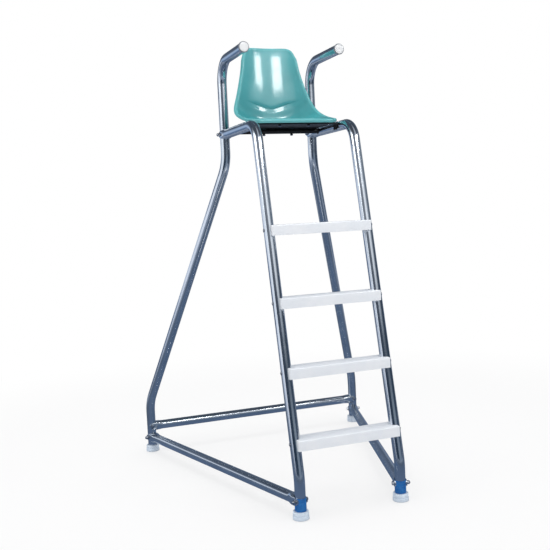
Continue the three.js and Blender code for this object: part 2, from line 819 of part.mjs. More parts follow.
function domedBolt(shankRadius, length, headRadius, headHeight) {
  const shoulder = headRadius * Math.cos(Math.PI / 4);
  return turned([[0, -length], [shankRadius, -length], [shankRadius, 0], [headRadius, 0],
    [shoulder, headHeight * Math.sin(Math.PI / 4)], [0, headHeight]], smallSides);
}

// A flanged cap nut opens downwards

function capNut() {
  const reach = boltHeadFlats / 2;
  const top = flangeHeight + nutHeight;
  const dome = turned([[0, nutHeight / 2], [reach, nutHeight / 2], [reach, top],
    [reach * Math.cos(Math.PI / 4), top + nutDomeHeight * Math.sin(Math.PI / 4)],
    [0, top + nutDomeHeight]], smallSides);
  const body = join(toSolid(rod('z', flangeRadius, 0, flangeHeight)), hexPrism(flangeHeight / 2, top), dome);
  return toGeometry(cut(body, rod('z', boltHole, -cutOverrun, nutBoreDepth)));
}

function addFastener(name, geometry, material, place) {
  addPart(name, geometry.applyMatrix4(place), material);
}

// From a joint's place to one of its ear faces: local Z comes to point away from the leg

function earPlace(joint, end, distance) {
  const turn = new THREE.Matrix4().makeRotationX((-end * Math.PI) / 2);
  const step = new THREE.Matrix4().makeTranslation(0, 0, distance);
  return joint.clone().multiply(turn).multiply(step);
}

// A bolt and a cap nut through a fork and its leg; outward says at which end the nut is

function addJointFasteners(name, joint, grip, outward) {
  const face = grip + earThickness + fitGap;
  const length = 2 * face + nutBoreDepth - boltTail;
  addFastener(`${name}_bolt`, flangeBolt(length), stainless(), earPlace(joint, -outward, face));
  addFastener(`${name}_cap_nut`, capNut(), stainless(), earPlace(joint, outward, face));
}

// The bolt goes through the rail into a threaded insert in the tread's solid end

function addTreadFasteners(name, side, index) {
  const face = railHalf + tubeRadius + fitGap;
  const height = treadBoltHeight(index);
  const place = (distance) => new THREE.Matrix4().makeRotationY((side * Math.PI) / 2)
    .setPosition(side * distance, railY(height), height);
  const bolt = domedBolt(treadBoltRadius, face - insertInnerEnd, treadHeadRadius, treadHeadHeight);
  addFastener(`${name}_bolt`, bolt, stainless(), place(face));
  const insert = turned([[treadBoltHole, 0], [insertRadius, 0], [insertRadius, insertLength],
    [treadBoltHole, insertLength], [treadBoltHole, 0]], smallSides);
  addFastener(`${name}_insert`, insert, brass(), place(insertInnerEnd));
}

// The bolt goes up through a bush into the seat's boss

function addSeatBolt(name, bolt, bushBottom) {
  const face = bushBottom - fitGap;
  const length = seatBoltEnd(bolt) - fitGap - face;
  const place = new THREE.Matrix4().makeRotationX(Math.PI).setPosition(bolt.x, bolt.y, face);
  addFastener(name, domedBolt(seatBoltRadius, length, seatHeadRadius, seatHeadHeight), stainless(), place);
}

for (const [name, side] of Object.entries(sides)) {
  addPart(`${name}_front_rail`, frontRail(side), stainless());
  addPart(`${name}_rear_post`, rearPost(side), stainless());
  addPart(`${name}_side_tube`, sideTube(side), stainless());
  addPart(`front_${name}_foot`, foot(), whiteRubber(), side * railHalf, -frontFootReach);
  addPart(`rear_${name}_foot`, foot(), whiteRubber(), side * rearHalf, rearFootReach);
  addPart(`${name}_leg_sleeve`, legSleeve(side), bluePlastic(), side * railHalf, -frontFootReach);
  addPart(`${name}_handrail_cap`, handrailCap(), whitePlastic(), side * railHalf,
    -(handrailReach - capHead - capPlugLength), handrailHeight);
  addJointFasteners(`${name}_seat_rail`, seatRailJoint(side), postGrip, -side);
  addJointFasteners(`${name}_front_base`, frontBaseJoint(side), sleeveGrip, side);
  addJointFasteners(`${name}_rear_base`, rearBaseJoint(side), postGrip, -side);
  addJointFasteners(`${name}_cross_tube`, crossTubeJoint(side), postGrip, side);
}
addPart('rear_cross_tube', crossTube(), stainless());
addPart('rear_seat_bearer', seatBearer(), blackPaint());
addPart('front_seat_strap', seatStrap(), blackPaint());
addPart('seat_plate', seatPlate(), blackPaint(), 0, 0, plateBottom);
addPart('seat_shell', seatShell(), tealPlastic());
for (let index = 0; index < treadCount; index++) {
  const name = `tread_${index + 1}`;
  addPart(name, tread(index), whitePlastic(), 0, railY(treadHeight(index)), treadHeight(index));
  addTreadFasteners(`${name}_left`, sides.left, index);
  addTreadFasteners(`${name}_right`, sides.right, index);
}

const strapBushBottom = supportTop - strapThickness - bushReach;
const bearerBushBottom = supportTop - bearerDiameter - bushReach;
Object.keys(sides).forEach((name, index) => {
  addSeatBolt(`front_${name}_seat_bolt`, seatBoltPlaces(strapReach)[index], strapBushBottom);
  addSeatBolt(`rear_${name}_seat_bolt`, seatBoltPlaces(bearerReach)[index], bearerBushBottom);
});

// The middle of the chair's footprint goes to the origin

const footprint = new THREE.Box3().setFromObject(chair, true);
chair.position.y = -(footprint.min.y + footprint.max.y) / 2;

export default chair;
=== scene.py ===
"""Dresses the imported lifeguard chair: finer tubes, treads, seat and fasteners, materials, light and camera."""

import math

import bmesh
import bpy
import numpy as np
from mathutils import Matrix, Vector


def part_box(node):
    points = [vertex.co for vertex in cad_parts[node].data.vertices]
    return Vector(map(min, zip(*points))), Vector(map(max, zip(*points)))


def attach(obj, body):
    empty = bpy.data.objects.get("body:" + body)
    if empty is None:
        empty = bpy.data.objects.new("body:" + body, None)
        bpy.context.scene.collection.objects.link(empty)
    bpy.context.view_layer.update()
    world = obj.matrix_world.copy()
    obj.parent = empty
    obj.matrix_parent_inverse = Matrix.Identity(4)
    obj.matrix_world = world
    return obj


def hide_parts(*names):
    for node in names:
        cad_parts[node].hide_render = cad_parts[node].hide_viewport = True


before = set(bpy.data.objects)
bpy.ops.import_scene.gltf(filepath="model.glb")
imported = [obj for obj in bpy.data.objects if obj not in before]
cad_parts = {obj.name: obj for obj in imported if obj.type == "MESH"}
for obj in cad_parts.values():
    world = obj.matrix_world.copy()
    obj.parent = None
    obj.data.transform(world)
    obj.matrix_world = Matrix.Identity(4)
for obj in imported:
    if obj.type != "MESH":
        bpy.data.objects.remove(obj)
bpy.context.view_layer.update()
scene = bpy.context.scene

# Lengths are in millimetres until a mesh is made. Left is -X. POST_Y is where the upright posts stand.

MM = 0.001
TUBE_R, TUBE_BORE = 24.15, 22.15
RAIL_HALF, REAR_HALF = 243.0, 630.0
FRONT_REACH, TOP_REACH, REAR_REACH = 858.0, 508.0, 462.0
SEAT_RAIL_Z, HANDRAIL_Z, KNEE_Z = 1734.0, 2101.0, 1584.0
FRONT_ANKLE_Z, REAR_ANKLE_Z = 178.0, 282.0
SIDE_TUBE_Z, CROSS_TUBE_Z = 82.0, 145.0
HANDRAIL_REACH = 392.0
ANKLE_R, SEAT_BEND_R, KNEE_R, HANDRAIL_BEND_R = 240.0, 100.0, 280.0, 114.0
LEG_START = 7.3
GAP = 0.3
SIDE_SPREAD, SIDE_RUN = REAR_HALF - RAIL_HALF, FRONT_REACH + REAR_REACH
POST_Y = (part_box("front_left_foot")[0].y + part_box("front_left_foot")[1].y) / 2 / MM + FRONT_REACH
SIDES = {"left": -1, "right": 1}
X, Y, Z = np.eye(3)


# Meshes


def linked_mesh(name, points, faces):
    mesh = bpy.data.meshes.new(name)
    mesh.from_pydata([tuple(p) for p in points], [], faces)
    obj = bpy.data.objects.new(name, mesh)
    scene.collection.objects.link(obj)
    return obj


def mesh_object(name, points, faces):
    """A mesh from points in millimetres, with its faces turned outwards."""
    obj = linked_mesh(name, [[float(v) * MM for v in p] for p in points], faces)
    work = bmesh.new()
    work.from_mesh(obj.data)
    bmesh.ops.recalc_face_normals(work, faces=work.faces)
    work.to_mesh(obj.data)
    work.free()
    return obj


def bake(obj):
    """The object's modifiers become its mesh."""
    graph = bpy.context.evaluated_depsgraph_get()
    old = obj.data
    obj.data = bpy.data.meshes.new_from_object(obj.evaluated_get(graph))
    obj.modifiers.clear()
    bpy.data.meshes.remove(old)


def carve(obj, *tools, how="DIFFERENCE"):
    for tool in tools:
        step = obj.modifiers.new("carve", "BOOLEAN")
        step.operation, step.solver, step.object = how, "MANIFOLD", tool
    bake(obj)
    for tool in tools:
        mesh = tool.data
        bpy.data.objects.remove(tool)
        bpy.data.meshes.remove(mesh)
    return obj


def unite(obj, *tools):
    return carve(obj, *tools, how="UNION")


def place(obj, matrix):
    obj.data.transform(matrix)
    return obj


def to_row(matrix):
    """A matrix in millimetres, with Y zero at the posts, as one in metres in the row frame."""
    moved = Matrix(matrix)
    moved.translation = (moved.translation + Vector((0, POST_Y, 0))) * MM
    return moved


def circle(radius, count):
    angles = np.arange(count) * 2 * math.pi / count
    return np.stack([radius * np.cos(angles), radius * np.sin(angles)], 1)


def strips(total, count, closed):
    """Faces between neighbouring rings of points. Closed joins the last ring to the first."""
    faces = []
    for ring in range(total if closed else total - 1):
        here, after = ring * count, (ring + 1) % total * count
        for i in range(count):
            j = (i + 1) % count
            faces.append((here + i, here + j, after + j, after + i))
    return faces


def loft(name, rings, closed=False):
    """A solid through rings of equal length. Its first and last rings are capped unless it is closed."""
    count, total = len(rings[0]), len(rings)
    faces = strips(total, count, closed)
    if not closed:
        faces.append(tuple(range(count)))
        faces.append(tuple(range((total - 1) * count, total * count)))
    return mesh_object(name, np.concatenate(rings), faces)


def lathe(name, profile, count=64):
    """A solid of revolution round Z. Its profile of (radius, height) ends on the axis or closes on itself."""
    on_axis = profile[0][0] == 0
    rings = profile[1:-1] if on_axis else profile
    turned = [np.column_stack([circle(r, count), np.full(count, h)]) for r, h in rings]
    points = list(np.concatenate(turned))
    faces = strips(len(rings), count, not on_axis)
    if on_axis:
        for ring, (_, height) in ((0, profile[0]), (len(rings) - 1, profile[-1])):
            points.append((0, 0, height))
            for i in range(count):
                faces.append((ring * count + i, ring * count + (i + 1) % count, len(points) - 1))
    return mesh_object(name, points, faces)


def rounded(corners, steps=5):
    """A profile whose corners (x, y, radius) are rounded."""
    out = []
    for i, (x, y, radius) in enumerate(corners):
        here = np.array([x, y], float)
        if radius == 0:
            out.append((x, y))
            continue
        to = [np.array(corners[(i + d) % len(corners)][:2], float) - here for d in (-1, 1)]
        to = [v / np.linalg.norm(v) for v in to]
        half = math.acos(max(-1, min(1, float(to[0] @ to[1])))) / 2
        run = radius / math.tan(half)
        centre = here + (to[0] + to[1]) / np.linalg.norm(to[0] + to[1]) * radius / math.sin(half)
        start, end = here + to[0] * run - centre, here + to[1] * run - centre
        turn = math.acos(max(-1, min(1, float(start @ end) / radius**2)))
        for step in range(steps + 1):
            a = turn * step / steps
            arm = (start * math.sin(turn - a) + end * math.sin(a)) / math.sin(turn)
            out.append(tuple(centre + arm))
    return out


def rounded_box(low_x, high_x, low_y, high_y, radius, steps):
    corners = (low_x, low_y), (high_x, low_y), (high_x, high_y), (low_x, high_y)
    return np.array(rounded([(x, y, radius) for x, y in corners], steps))


def sideways(along):
    return np.cross(along, Z if abs(along[2]) < 0.9 else X)


def rod(name, start, end, radius, count=32):
    start, end = np.array(start, float), np.array(end, float)
    along = (end - start) / np.linalg.norm(end - start)
    across = sideways(along)
    across /= np.linalg.norm(across)
    return loft(name, [round_ring(p, along, across, radius, count) for p in (start, end)])


def prism(name, outline, low, high):
    """A flat outline in X and Y, raised from low to high."""
    outline = np.array(outline, float)
    rings = [np.column_stack([outline, np.full(len(outline), h)]) for h in (low, high)]
    return loft(name, rings)


# The longest step between the stations of a straight run
RUN = 45.0


def stations(corners, radii, step=3.0):
    """Points and directions along a bent tube's centre line, close together on its bends."""
    corners = [np.array(c, float) for c in corners]
    out = [(corners[0], corners[1] - corners[0])]
    for before, corner, after, radius in zip(corners, corners[1:], corners[2:], radii):
        coming = (corner - before) / np.linalg.norm(corner - before)
        going = (after - corner) / np.linalg.norm(after - corner)
        turn = math.acos(float(coming @ going))
        inward = going - coming * (coming @ going)
        inward /= np.linalg.norm(inward)
        centre = corner - coming * radius * math.tan(turn / 2) + inward * radius
        count = math.ceil(math.degrees(turn) / step)
        out += between(out[-1][0], corner - coming * radius * math.tan(turn / 2))
        for i in range(count + 1):
            a = turn * i / count
            point = centre - inward * radius * math.cos(a) + coming * radius * math.sin(a)
            out.append((point, coming * math.cos(a) + inward * math.sin(a)))
    out += between(out[-1][0], corners[-1])
    out.append((corners[-1], corners[-1] - corners[-2]))
    return [(p, t / np.linalg.norm(t)) for p, t in out]


def between(start, end):
    """Stations between two points of a straight run, without its ends."""
    along = end - start
    count = math.ceil(np.linalg.norm(along) / RUN)
    return [(start + along * i / count, along) for i in range(1, count)]


def carried(line, across):
    """The line's stations with a sideways direction that turns as little as it can."""
    out = []
    for point, along in line:
        across = across - along * (across @ along)
        across = across / np.linalg.norm(across)
        out.append((point, along, across))
    return out


def round_ring(point, along, across, radius, count):
    section = circle(radius, count)
    return point + section[:, :1] * across + section[:, 1:] * np.cross(along, across)


def pipe(name, line, across, outer, inner, count=56, edge=0.6):
    """A tube open at both ends, with its cut edges rounded off."""
    line = carried(line, across)
    first, last = line[0], line[-1]
    shift = lambda s, d: (s[0] + s[1] * d, s[1], s[2])
    skin = [shift(first, edge), *line[1:-1], shift(last, -edge)]
    rings = [round_ring(*first, outer - edge, count)]
    rings += [round_ring(*s, outer, count) for s in skin]
    rings += [round_ring(*last, outer - edge, count), round_ring(*last, inner + edge, count)]
    rings += [round_ring(*s, inner, count) for s in reversed(skin)]
    rings += [round_ring(*first, inner + edge, count)]
    return loft(name, rings, closed=True)


def eased(share):
    share = np.clip(share, 0, 1)
    return share * share * (3 - 2 * share)


def shade_points(obj, value):
    """Stores a number for each point, which a material reads as its edge share. The points are in millimetres."""
    points = np.zeros(len(obj.data.vertices) * 3)
    obj.data.vertices.foreach_get("co", points)
    attribute = obj.data.attributes.new("edge", "FLOAT", "POINT")
    attribute.data.foreach_set("value", value(points.reshape(-1, 3) / MM).astype(np.float32))


# Forked tube ends. A joint's place has X out of the tube, Y along the bolt and Z up.

EAR, EAR_R, FLARE, BOLT_R, OVERRUN = 3.0, 16.0, 42.0, 5.0, 5.0
FORK_SQUARE = 4.0
FLARE_STEPS = 10
POST_GRIP = TUBE_R + GAP
SLEEVE_WALL = 1.6
SLEEVE_GRIP = TUBE_R + GAP + SLEEVE_WALL + GAP
TUBE_SIDES = 64


def level(x, y, z, along_x, along_y):
    turn = Matrix.Rotation(math.atan2(along_y, along_x), 4, "Z")
    turn.translation = (x, y, z)
    return turn


def fork_ring(centre, across, up, half_width, square):
    corner = circle(1, TUBE_SIDES)
    bulge = np.sign(corner) * np.abs(corner) ** (2 / square)
    return centre + half_width * bulge[:, :1] * across + TUBE_R * bulge[:, 1:] * up


def fork_rings(joint, outward, across, up, grip):
    wide = grip + EAR
    rings = []
    for step in range(FLARE_STEPS + 1):
        t = step / FLARE_STEPS
        centre = joint + outward * (-grip - FLARE + FLARE * t)
        half_width, square = TUBE_R + (wide - TUBE_R) * eased(t), 2 + (FORK_SQUARE - 2) * eased(t)
        rings.append(fork_ring(centre, across, up, half_width, square))
    rings.append(fork_ring(joint + outward * (EAR_R + OVERRUN), across, up, wide, FORK_SQUARE))
    return rings


def ear_trim(grip):
    far, tall = EAR_R + 2 * OVERRUN, 2 * TUBE_R
    arc = [(EAR_R * math.cos(a), EAR_R * math.sin(a)) for a in np.linspace(-math.pi / 2, math.pi / 2, 25)]
    outline = [(-grip, TUBE_R), (-grip, tall), (far, tall), (far, -tall), (-grip, -tall),
               (-grip, -TUBE_R), *arc]
    trim = prism("trim", outline, -tall, tall)
    return place(trim, Matrix.Rotation(math.pi / 2, 4, "X"))


def bolt_tool(joint):
    return place(rod("hole", (0, -2 * TUBE_R, 0), (0, 2 * TUBE_R, 0), BOLT_R + GAP), to_row(joint))


def cut_fork(tube, joint, grip):
    x, y, z = joint.translation
    leg = rod("leg", (x, y + POST_Y, z - 2 * TUBE_R), (x, y + POST_Y, z + 2 * TUBE_R), grip, TUBE_SIDES)
    return carve(tube, leg, place(ear_trim(grip), to_row(joint)), bolt_tool(joint))


def seat_rail_joint(side):
    return level(side * RAIL_HALF, 0, SEAT_RAIL_Z, 0, 1)


def front_base_joint(side):
    return level(side * RAIL_HALF, -FRONT_REACH, SIDE_TUBE_Z, -side * SIDE_SPREAD, -SIDE_RUN)


def rear_base_joint(side):
    return level(side * REAR_HALF, REAR_REACH, SIDE_TUBE_Z, side * SIDE_SPREAD, SIDE_RUN)


def cross_tube_joint(side):
    return level(side * REAR_HALF, REAR_REACH, CROSS_TUBE_Z, side, 0)


def in_row(points):
    return [np.array(p, float) + Y * POST_Y for p in points]


def forked_tube(name, start, start_grip, end, end_grip):
    a, b = (np.array(m.translation) + Y * POST_Y for m in (start, end))
    along = (b - a) / np.linalg.norm(b - a)
    across = np.cross(Z, along)
    up = np.cross(along, across)
    rings = fork_rings(a, -along, across, up, start_grip)[::-1]
    run = between(a + along * (start_grip + FLARE), b - along * (end_grip + FLARE))
    rings += [fork_ring(p, across, up, TUBE_R, 2) for p, _ in run]
    rings += fork_rings(b, along, across, up, end_grip)
    tube = loft(name, rings)
    beyond = along * (EAR_R + 2 * OVERRUN)
    carve(tube, rod("bore", a - beyond, b + beyond, TUBE_BORE, TUBE_SIDES))
    return cut_fork(cut_fork(tube, start, start_grip), end, end_grip)


TREADS, TREAD_Z, TREAD_PITCH, TOP_LIFT = 4, 300.0, 301.0, 21.0
TREAD_NOSE, TREAD_BACK, TREAD_H = 42.0, 54.0, 46.0
RAIL_TILT = math.atan2(FRONT_REACH - TOP_REACH, SEAT_RAIL_Z - FRONT_ANKLE_Z)
TREAD_BOLT_R = 4.0


def rail_y(height):
    return -FRONT_REACH + (height - FRONT_ANKLE_Z) * math.tan(RAIL_TILT)


def tread_z(index):
    return TREAD_Z + index * TREAD_PITCH + (TOP_LIFT if index == TREADS - 1 else 0)


def front_rail(name, side):
    x = side * RAIL_HALF
    path = lambda low, back: in_row([
        (x, -FRONT_REACH, low), (x, -FRONT_REACH, FRONT_ANKLE_Z),
        (x, -TOP_REACH, SEAT_RAIL_Z), (x, back, SEAT_RAIL_Z)])
    radii = (ANKLE_R, SEAT_BEND_R)
    line = carried(stations(path(LEG_START, -(POST_GRIP + FLARE)), radii), X)
    rings = [round_ring(p, t, a, TUBE_R, TUBE_SIDES) for p, t, a in line[:-1]]
    rings += fork_rings(in_row([(x, 0, SEAT_RAIL_Z)])[0], Y, X, np.cross(Y, X), POST_GRIP)
    tube = loft(name, rings)
    bore = carried(stations(path(LEG_START - OVERRUN, OVERRUN), radii), X)
    bore = loft("bore", [round_ring(p, t, a, TUBE_BORE, TUBE_SIDES) for p, t, a in bore])
    drills = []
    for index in range(TREADS):
        height = tread_z(index) + TREAD_H / 2
        y = rail_y(height) + POST_Y
        ends = (x - 2 * TUBE_R, y, height), (x + 2 * TUBE_R, y, height)
        drills.append(rod("drill", *ends, TREAD_BOLT_R + GAP))
    carve(tube, bore, bolt_tool(front_base_joint(side)), *drills)
    return cut_fork(tube, seat_rail_joint(side), POST_GRIP)


def rear_post(name, side):
    x = side * RAIL_HALF
    path = in_row([
        (side * REAR_HALF, REAR_REACH, LEG_START), (side * REAR_HALF, REAR_REACH, REAR_ANKLE_Z),
        (x, 0, KNEE_Z), (x, 0, HANDRAIL_Z), (x, -(HANDRAIL_REACH - CAP_HEAD - GAP), HANDRAIL_Z)])
    tube = pipe(name, stations(path, (ANKLE_R, KNEE_R, HANDRAIL_BEND_R)), X, TUBE_R, TUBE_BORE, TUBE_SIDES)
    joints = seat_rail_joint(side), rear_base_joint(side), cross_tube_joint(side)
    return carve(tube, *(bolt_tool(joint) for joint in joints))


# Turned pieces


FOOT_R, FOOT_H, FOOT_FLOOR, FOOT_GROOVE = 36.5, 38.0, 7.0, 3.4
CAP_HEAD, CAP_R, CAP_PLUG, CAP_FACE, CAP_WAIST = 8.0, 26.5, 24.0, 16.0, 0.8
# The cap's face darkens from this radius outwards over this soft width: a painted shade where its rounded edge
# turns from the light.
CAP_SHADE_FROM, CAP_SHADE_SOFT = 20.8, 2.6
SLEEVE_TOP = 97.0


def foot(name, x, y):
    socket, groove = TUBE_R + GAP, FOOT_R - FOOT_GROOVE
    outline = rounded([
        (FOOT_R - 1, 0, 0), (FOOT_R, 3, 1.4), (FOOT_R - 0.4, 17.5, 1.6), (groove, 19.4, 0.8),
        (groove, 22.2, 0.8), (FOOT_R - 1.0, 24.2, 0.9), (FOOT_R - 2.0, FOOT_H, 2.6),
        (socket, FOOT_H, 0.9), (socket, FOOT_FLOOR, 0)])
    body = lathe(name, [(0, 0), *outline[1:], (0, FOOT_FLOOR)])
    return place(body, to_row(Matrix.Translation((x, y, 0))))


def leg_sleeve(name, side):
    bore, outer, low = TUBE_R + GAP, TUBE_R + GAP + SLEEVE_WALL, FOOT_H + GAP
    outline = [(bore, low, 0.5), (outer, low, 0.7), (outer, SLEEVE_TOP, 0.7), (bore, SLEEVE_TOP, 0.5)]
    sleeve = lathe(name, rounded(outline))
    place(sleeve, to_row(Matrix.Translation((side * RAIL_HALF, -FRONT_REACH, 0))))
    return carve(sleeve, bolt_tool(front_base_joint(side)))


def handrail_cap(name, side):
    plug, head = TUBE_BORE - GAP, CAP_PLUG + CAP_HEAD
    waist = plug - CAP_WAIST
    profile = [(0, 0)] + rounded([
        (plug - 2, 0, 0), (plug, 2, 0.6), (plug, 5, 0.4), (waist, 6, 0.4), (waist, 9, 0.4), (plug, 10, 0.4),
        (plug, CAP_PLUG, 0.4), (CAP_R, CAP_PLUG, 1.2), (CAP_R, head - 0.6, 5.5), (CAP_FACE, head, 20),
        (0, head, 0)], 8)
    cap = lathe(name, profile, 72)
    # The edge share rises over the outer ring of the cap, where the cap material paints shade.
    shade_points(cap, lambda p: eased((np.hypot(p[:, 0], p[:, 1]) - CAP_SHADE_FROM) / CAP_SHADE_SOFT))
    turn = Matrix.Rotation(math.pi / 2, 4, "X")
    turn.translation = (side * RAIL_HALF, -(HANDRAIL_REACH - CAP_HEAD - CAP_PLUG), HANDRAIL_Z)
    return place(cap, to_row(turn))


# Seat supports

BEARER_R, BEARER_BORE, BEARER_REACH, BEARER_CUT = 12.7, 11.1, 132.0, 60
STRAP_REACH, STRAP_W, STRAP_T, STRAP_FLANGE, STRAP_BEND = 368.0, 38.0, 5.0, 32.0, 6.5
BUSH_R, BUSH_REACH, BUSH_BITE, SPIGOT_R, BOSS_R = 7.0, 6.0, 0.8, 10.0, 16.0
SEAT_BOLT_X, SEAT_BOLT_R, SEAT_BOLT_SHORT = 75.0, 4.0, 4.5
PLATE_HALF = (2 * RAIL_HALF - 2 * TUBE_R - 8) / 2
PLATE_FRONT, PLATE_BACK, PLATE_T, PLATE_CORNER, PLATE_EDGE = 385.0, 62.0, 6.0, 24.0, 0.9
SUPPORT_TOP = SEAT_RAIL_Z + BEARER_R
PLATE_LOW = SUPPORT_TOP + GAP
PLATE_TOP = PLATE_LOW + PLATE_T
SEAT_BOLTS = [(side * SEAT_BOLT_X, -reach, reach) for reach in (STRAP_REACH, BEARER_REACH) for side in (-1, 1)]


def upright(name, x, y, low, high, radius, count=32):
    return rod(name, (x, y + POST_Y, low), (x, y + POST_Y, high), radius, count)


def bolt_pair(name, reach, low, high, radius):
    """Upright rods where the two seat bolts of the bearer or the strap go."""
    return [upright(name, side * SEAT_BOLT_X, -reach, low, high, radius) for side in (-1, 1)]


def seat_bearer(name):
    y = -BEARER_REACH
    ends = in_row([(-RAIL_HALF, y, SEAT_RAIL_Z), (RAIL_HALF, y, SEAT_RAIL_Z)])
    bearer = pipe(name, stations(ends, ()), Y, BEARER_R, BEARER_BORE, 48)
    low, high = SEAT_RAIL_Z - BEARER_R - BUSH_REACH, SEAT_RAIL_Z + 2 * BEARER_R
    unite(bearer, *bolt_pair("bush", BEARER_REACH, low, SEAT_RAIL_Z + BEARER_BORE + BUSH_BITE, BUSH_R))
    carve(bearer, *bolt_pair("hole", BEARER_REACH, low - OVERRUN, high, SEAT_BOLT_R + GAP))
    rails = []
    for x in (-RAIL_HALF, RAIL_HALF):
        ends = in_row([(x, y - BEARER_CUT, SEAT_RAIL_Z), (x, y + BEARER_CUT, SEAT_RAIL_Z)])
        rails.append(rod("rail", *ends, TUBE_R + GAP, TUBE_SIDES))
    return carve(bearer, *rails)


def seat_strap(name):
    y, middle = -STRAP_REACH, RAIL_HALF - TUBE_R - GAP - STRAP_T / 2
    top, low = SUPPORT_TOP - STRAP_T / 2, SUPPORT_TOP - STRAP_FLANGE
    path = in_row([(-middle, y, low), (-middle, y, top), (middle, y, top), (middle, y, low)])
    line = carried(stations(path, (STRAP_BEND, STRAP_BEND), 10), Y)
    section = rounded_box(-STRAP_W / 2, STRAP_W / 2, -STRAP_T / 2, STRAP_T / 2, 1, 3)
    strap = loft(name, [p + section[:, :1] * a + section[:, 1:] * np.cross(t, a) for p, t, a in line])
    under = SUPPORT_TOP - STRAP_T
    unite(strap, *bolt_pair("bush", STRAP_REACH, under - BUSH_REACH, under + STRAP_T / 2, BUSH_R))
    return carve(strap, *bolt_pair("hole", STRAP_REACH, low, SUPPORT_TOP + OVERRUN, SEAT_BOLT_R + GAP))


def seat_plate(name):
    outline = rounded_box(-PLATE_HALF, PLATE_HALF, -PLATE_FRONT, -PLATE_BACK, PLATE_CORNER, 12)
    centre = outline.mean(0)
    size = np.abs(outline - centre).max(0)
    edge = PLATE_EDGE
    rings = []
    for inset, height in ((edge, 0), (edge * 0.3, edge * 0.3), (0, edge), (0, PLATE_T - edge),
                          (edge * 0.3, PLATE_T - edge * 0.3), (edge, PLATE_T)):
        flat = centre + (outline - centre) * (size - inset) / size
        rings.append(np.column_stack([flat[:, 0], flat[:, 1] + POST_Y, np.full(len(flat), PLATE_LOW + height)]))
    plate = loft(name, rings)
    low, high = PLATE_LOW - OVERRUN, PLATE_TOP + OVERRUN
    return carve(plate, *(upright("hole", x, y, low, high, SPIGOT_R + GAP, 48) for x, y, _ in SEAT_BOLTS))


# Treads: moulded channels, coped to the rails

TREAD_SKIN, TREAD_SKIRT, TREAD_BLOCK, TREAD_RIB, POCKETS = 4.5, 4.0, 58.0, 3.0, 4
TREAD_FOOT_R, TREAD_EDGE_R, COPE_BELOW, COPE_ABOVE = 1.2, 4.6, 80, 120
INSERT_R, INSERT_L, INSERT_SETBACK = 6.5, 24.0, 6.0
INSERT_OUT = RAIL_HALF - TUBE_R - INSERT_SETBACK
INSERT_IN = INSERT_OUT - INSERT_L
# Height, inset and corner radius of a pocket's layers, from below its mouth to its rounded roof
POCKET_ROOF = TREAD_H - TREAD_SKIN
POCKET_LAYERS = (
    (-OVERRUN, 0.4, 4), (0, 0, 4), (POCKET_ROOF - 3, 1.0, 4), (POCKET_ROOF - 0.9, 1.8, 4), (POCKET_ROOF, 4.0, 3))


def tread_pockets(base_y, base_z):
    front, back = -TREAD_NOSE + TREAD_SKIRT, TREAD_BACK - TREAD_SKIRT
    hollow = RAIL_HALF - GAP - TREAD_BLOCK
    pitch = (2 * hollow + TREAD_RIB) / POCKETS
    pockets = []
    for pocket in range(POCKETS):
        low = -hollow + pocket * pitch
        high = low + pitch - TREAD_RIB
        layers = []
        for height, inset, corner in POCKET_LAYERS:
            flat = rounded_box(low + inset, high - inset, front + inset, back - inset, corner, 4)
            layers.append(np.column_stack([flat[:, 0], flat[:, 1] + base_y, np.full(len(flat), height + base_z)]))
        pockets.append(loft("pocket", layers))
    return pockets


def tread(name, index):
    half = RAIL_HALF - GAP
    base_y, base_z = rail_y(tread_z(index)) + POST_Y, tread_z(index)
    outline = np.array(rounded([
        (-TREAD_NOSE, 0, TREAD_FOOT_R), (TREAD_BACK, 0, TREAD_FOOT_R),
        (TREAD_BACK, TREAD_H, TREAD_EDGE_R), (-TREAD_NOSE, TREAD_H, TREAD_EDGE_R)], 8))
    rings = [np.column_stack([np.full(len(outline), x), outline[:, 0] + base_y, outline[:, 1] + base_z])
             for x in np.linspace(-half, half, 41)]
    body = loft(name, rings)
    tools = tread_pockets(base_y, base_z)
    tilt = np.array([0, math.tan(RAIL_TILT), 1.0])
    middle = base_z + TREAD_H / 2
    bolt_y = rail_y(middle) + POST_Y
    for side in (-1, 1):
        corner = np.array([side * RAIL_HALF, base_y, base_z])
        tools.append(rod("rail", corner - tilt * COPE_BELOW, corner + tilt * COPE_ABOVE, TUBE_R + GAP, TUBE_SIDES))
        inner, rail_end, outer = (
            (side * x, bolt_y, middle) for x in (INSERT_IN, RAIL_HALF, INSERT_OUT + INSERT_SETBACK))
        tools.append(rod("hole", inner, rail_end, TREAD_BOLT_R + GAP))
        tools.append(rod("socket", inner, outer, INSERT_R + GAP))
    return carve(body, *tools)


# Seat. The table gives shares of the shell's depth, height and half its width, from the front edge to the top.

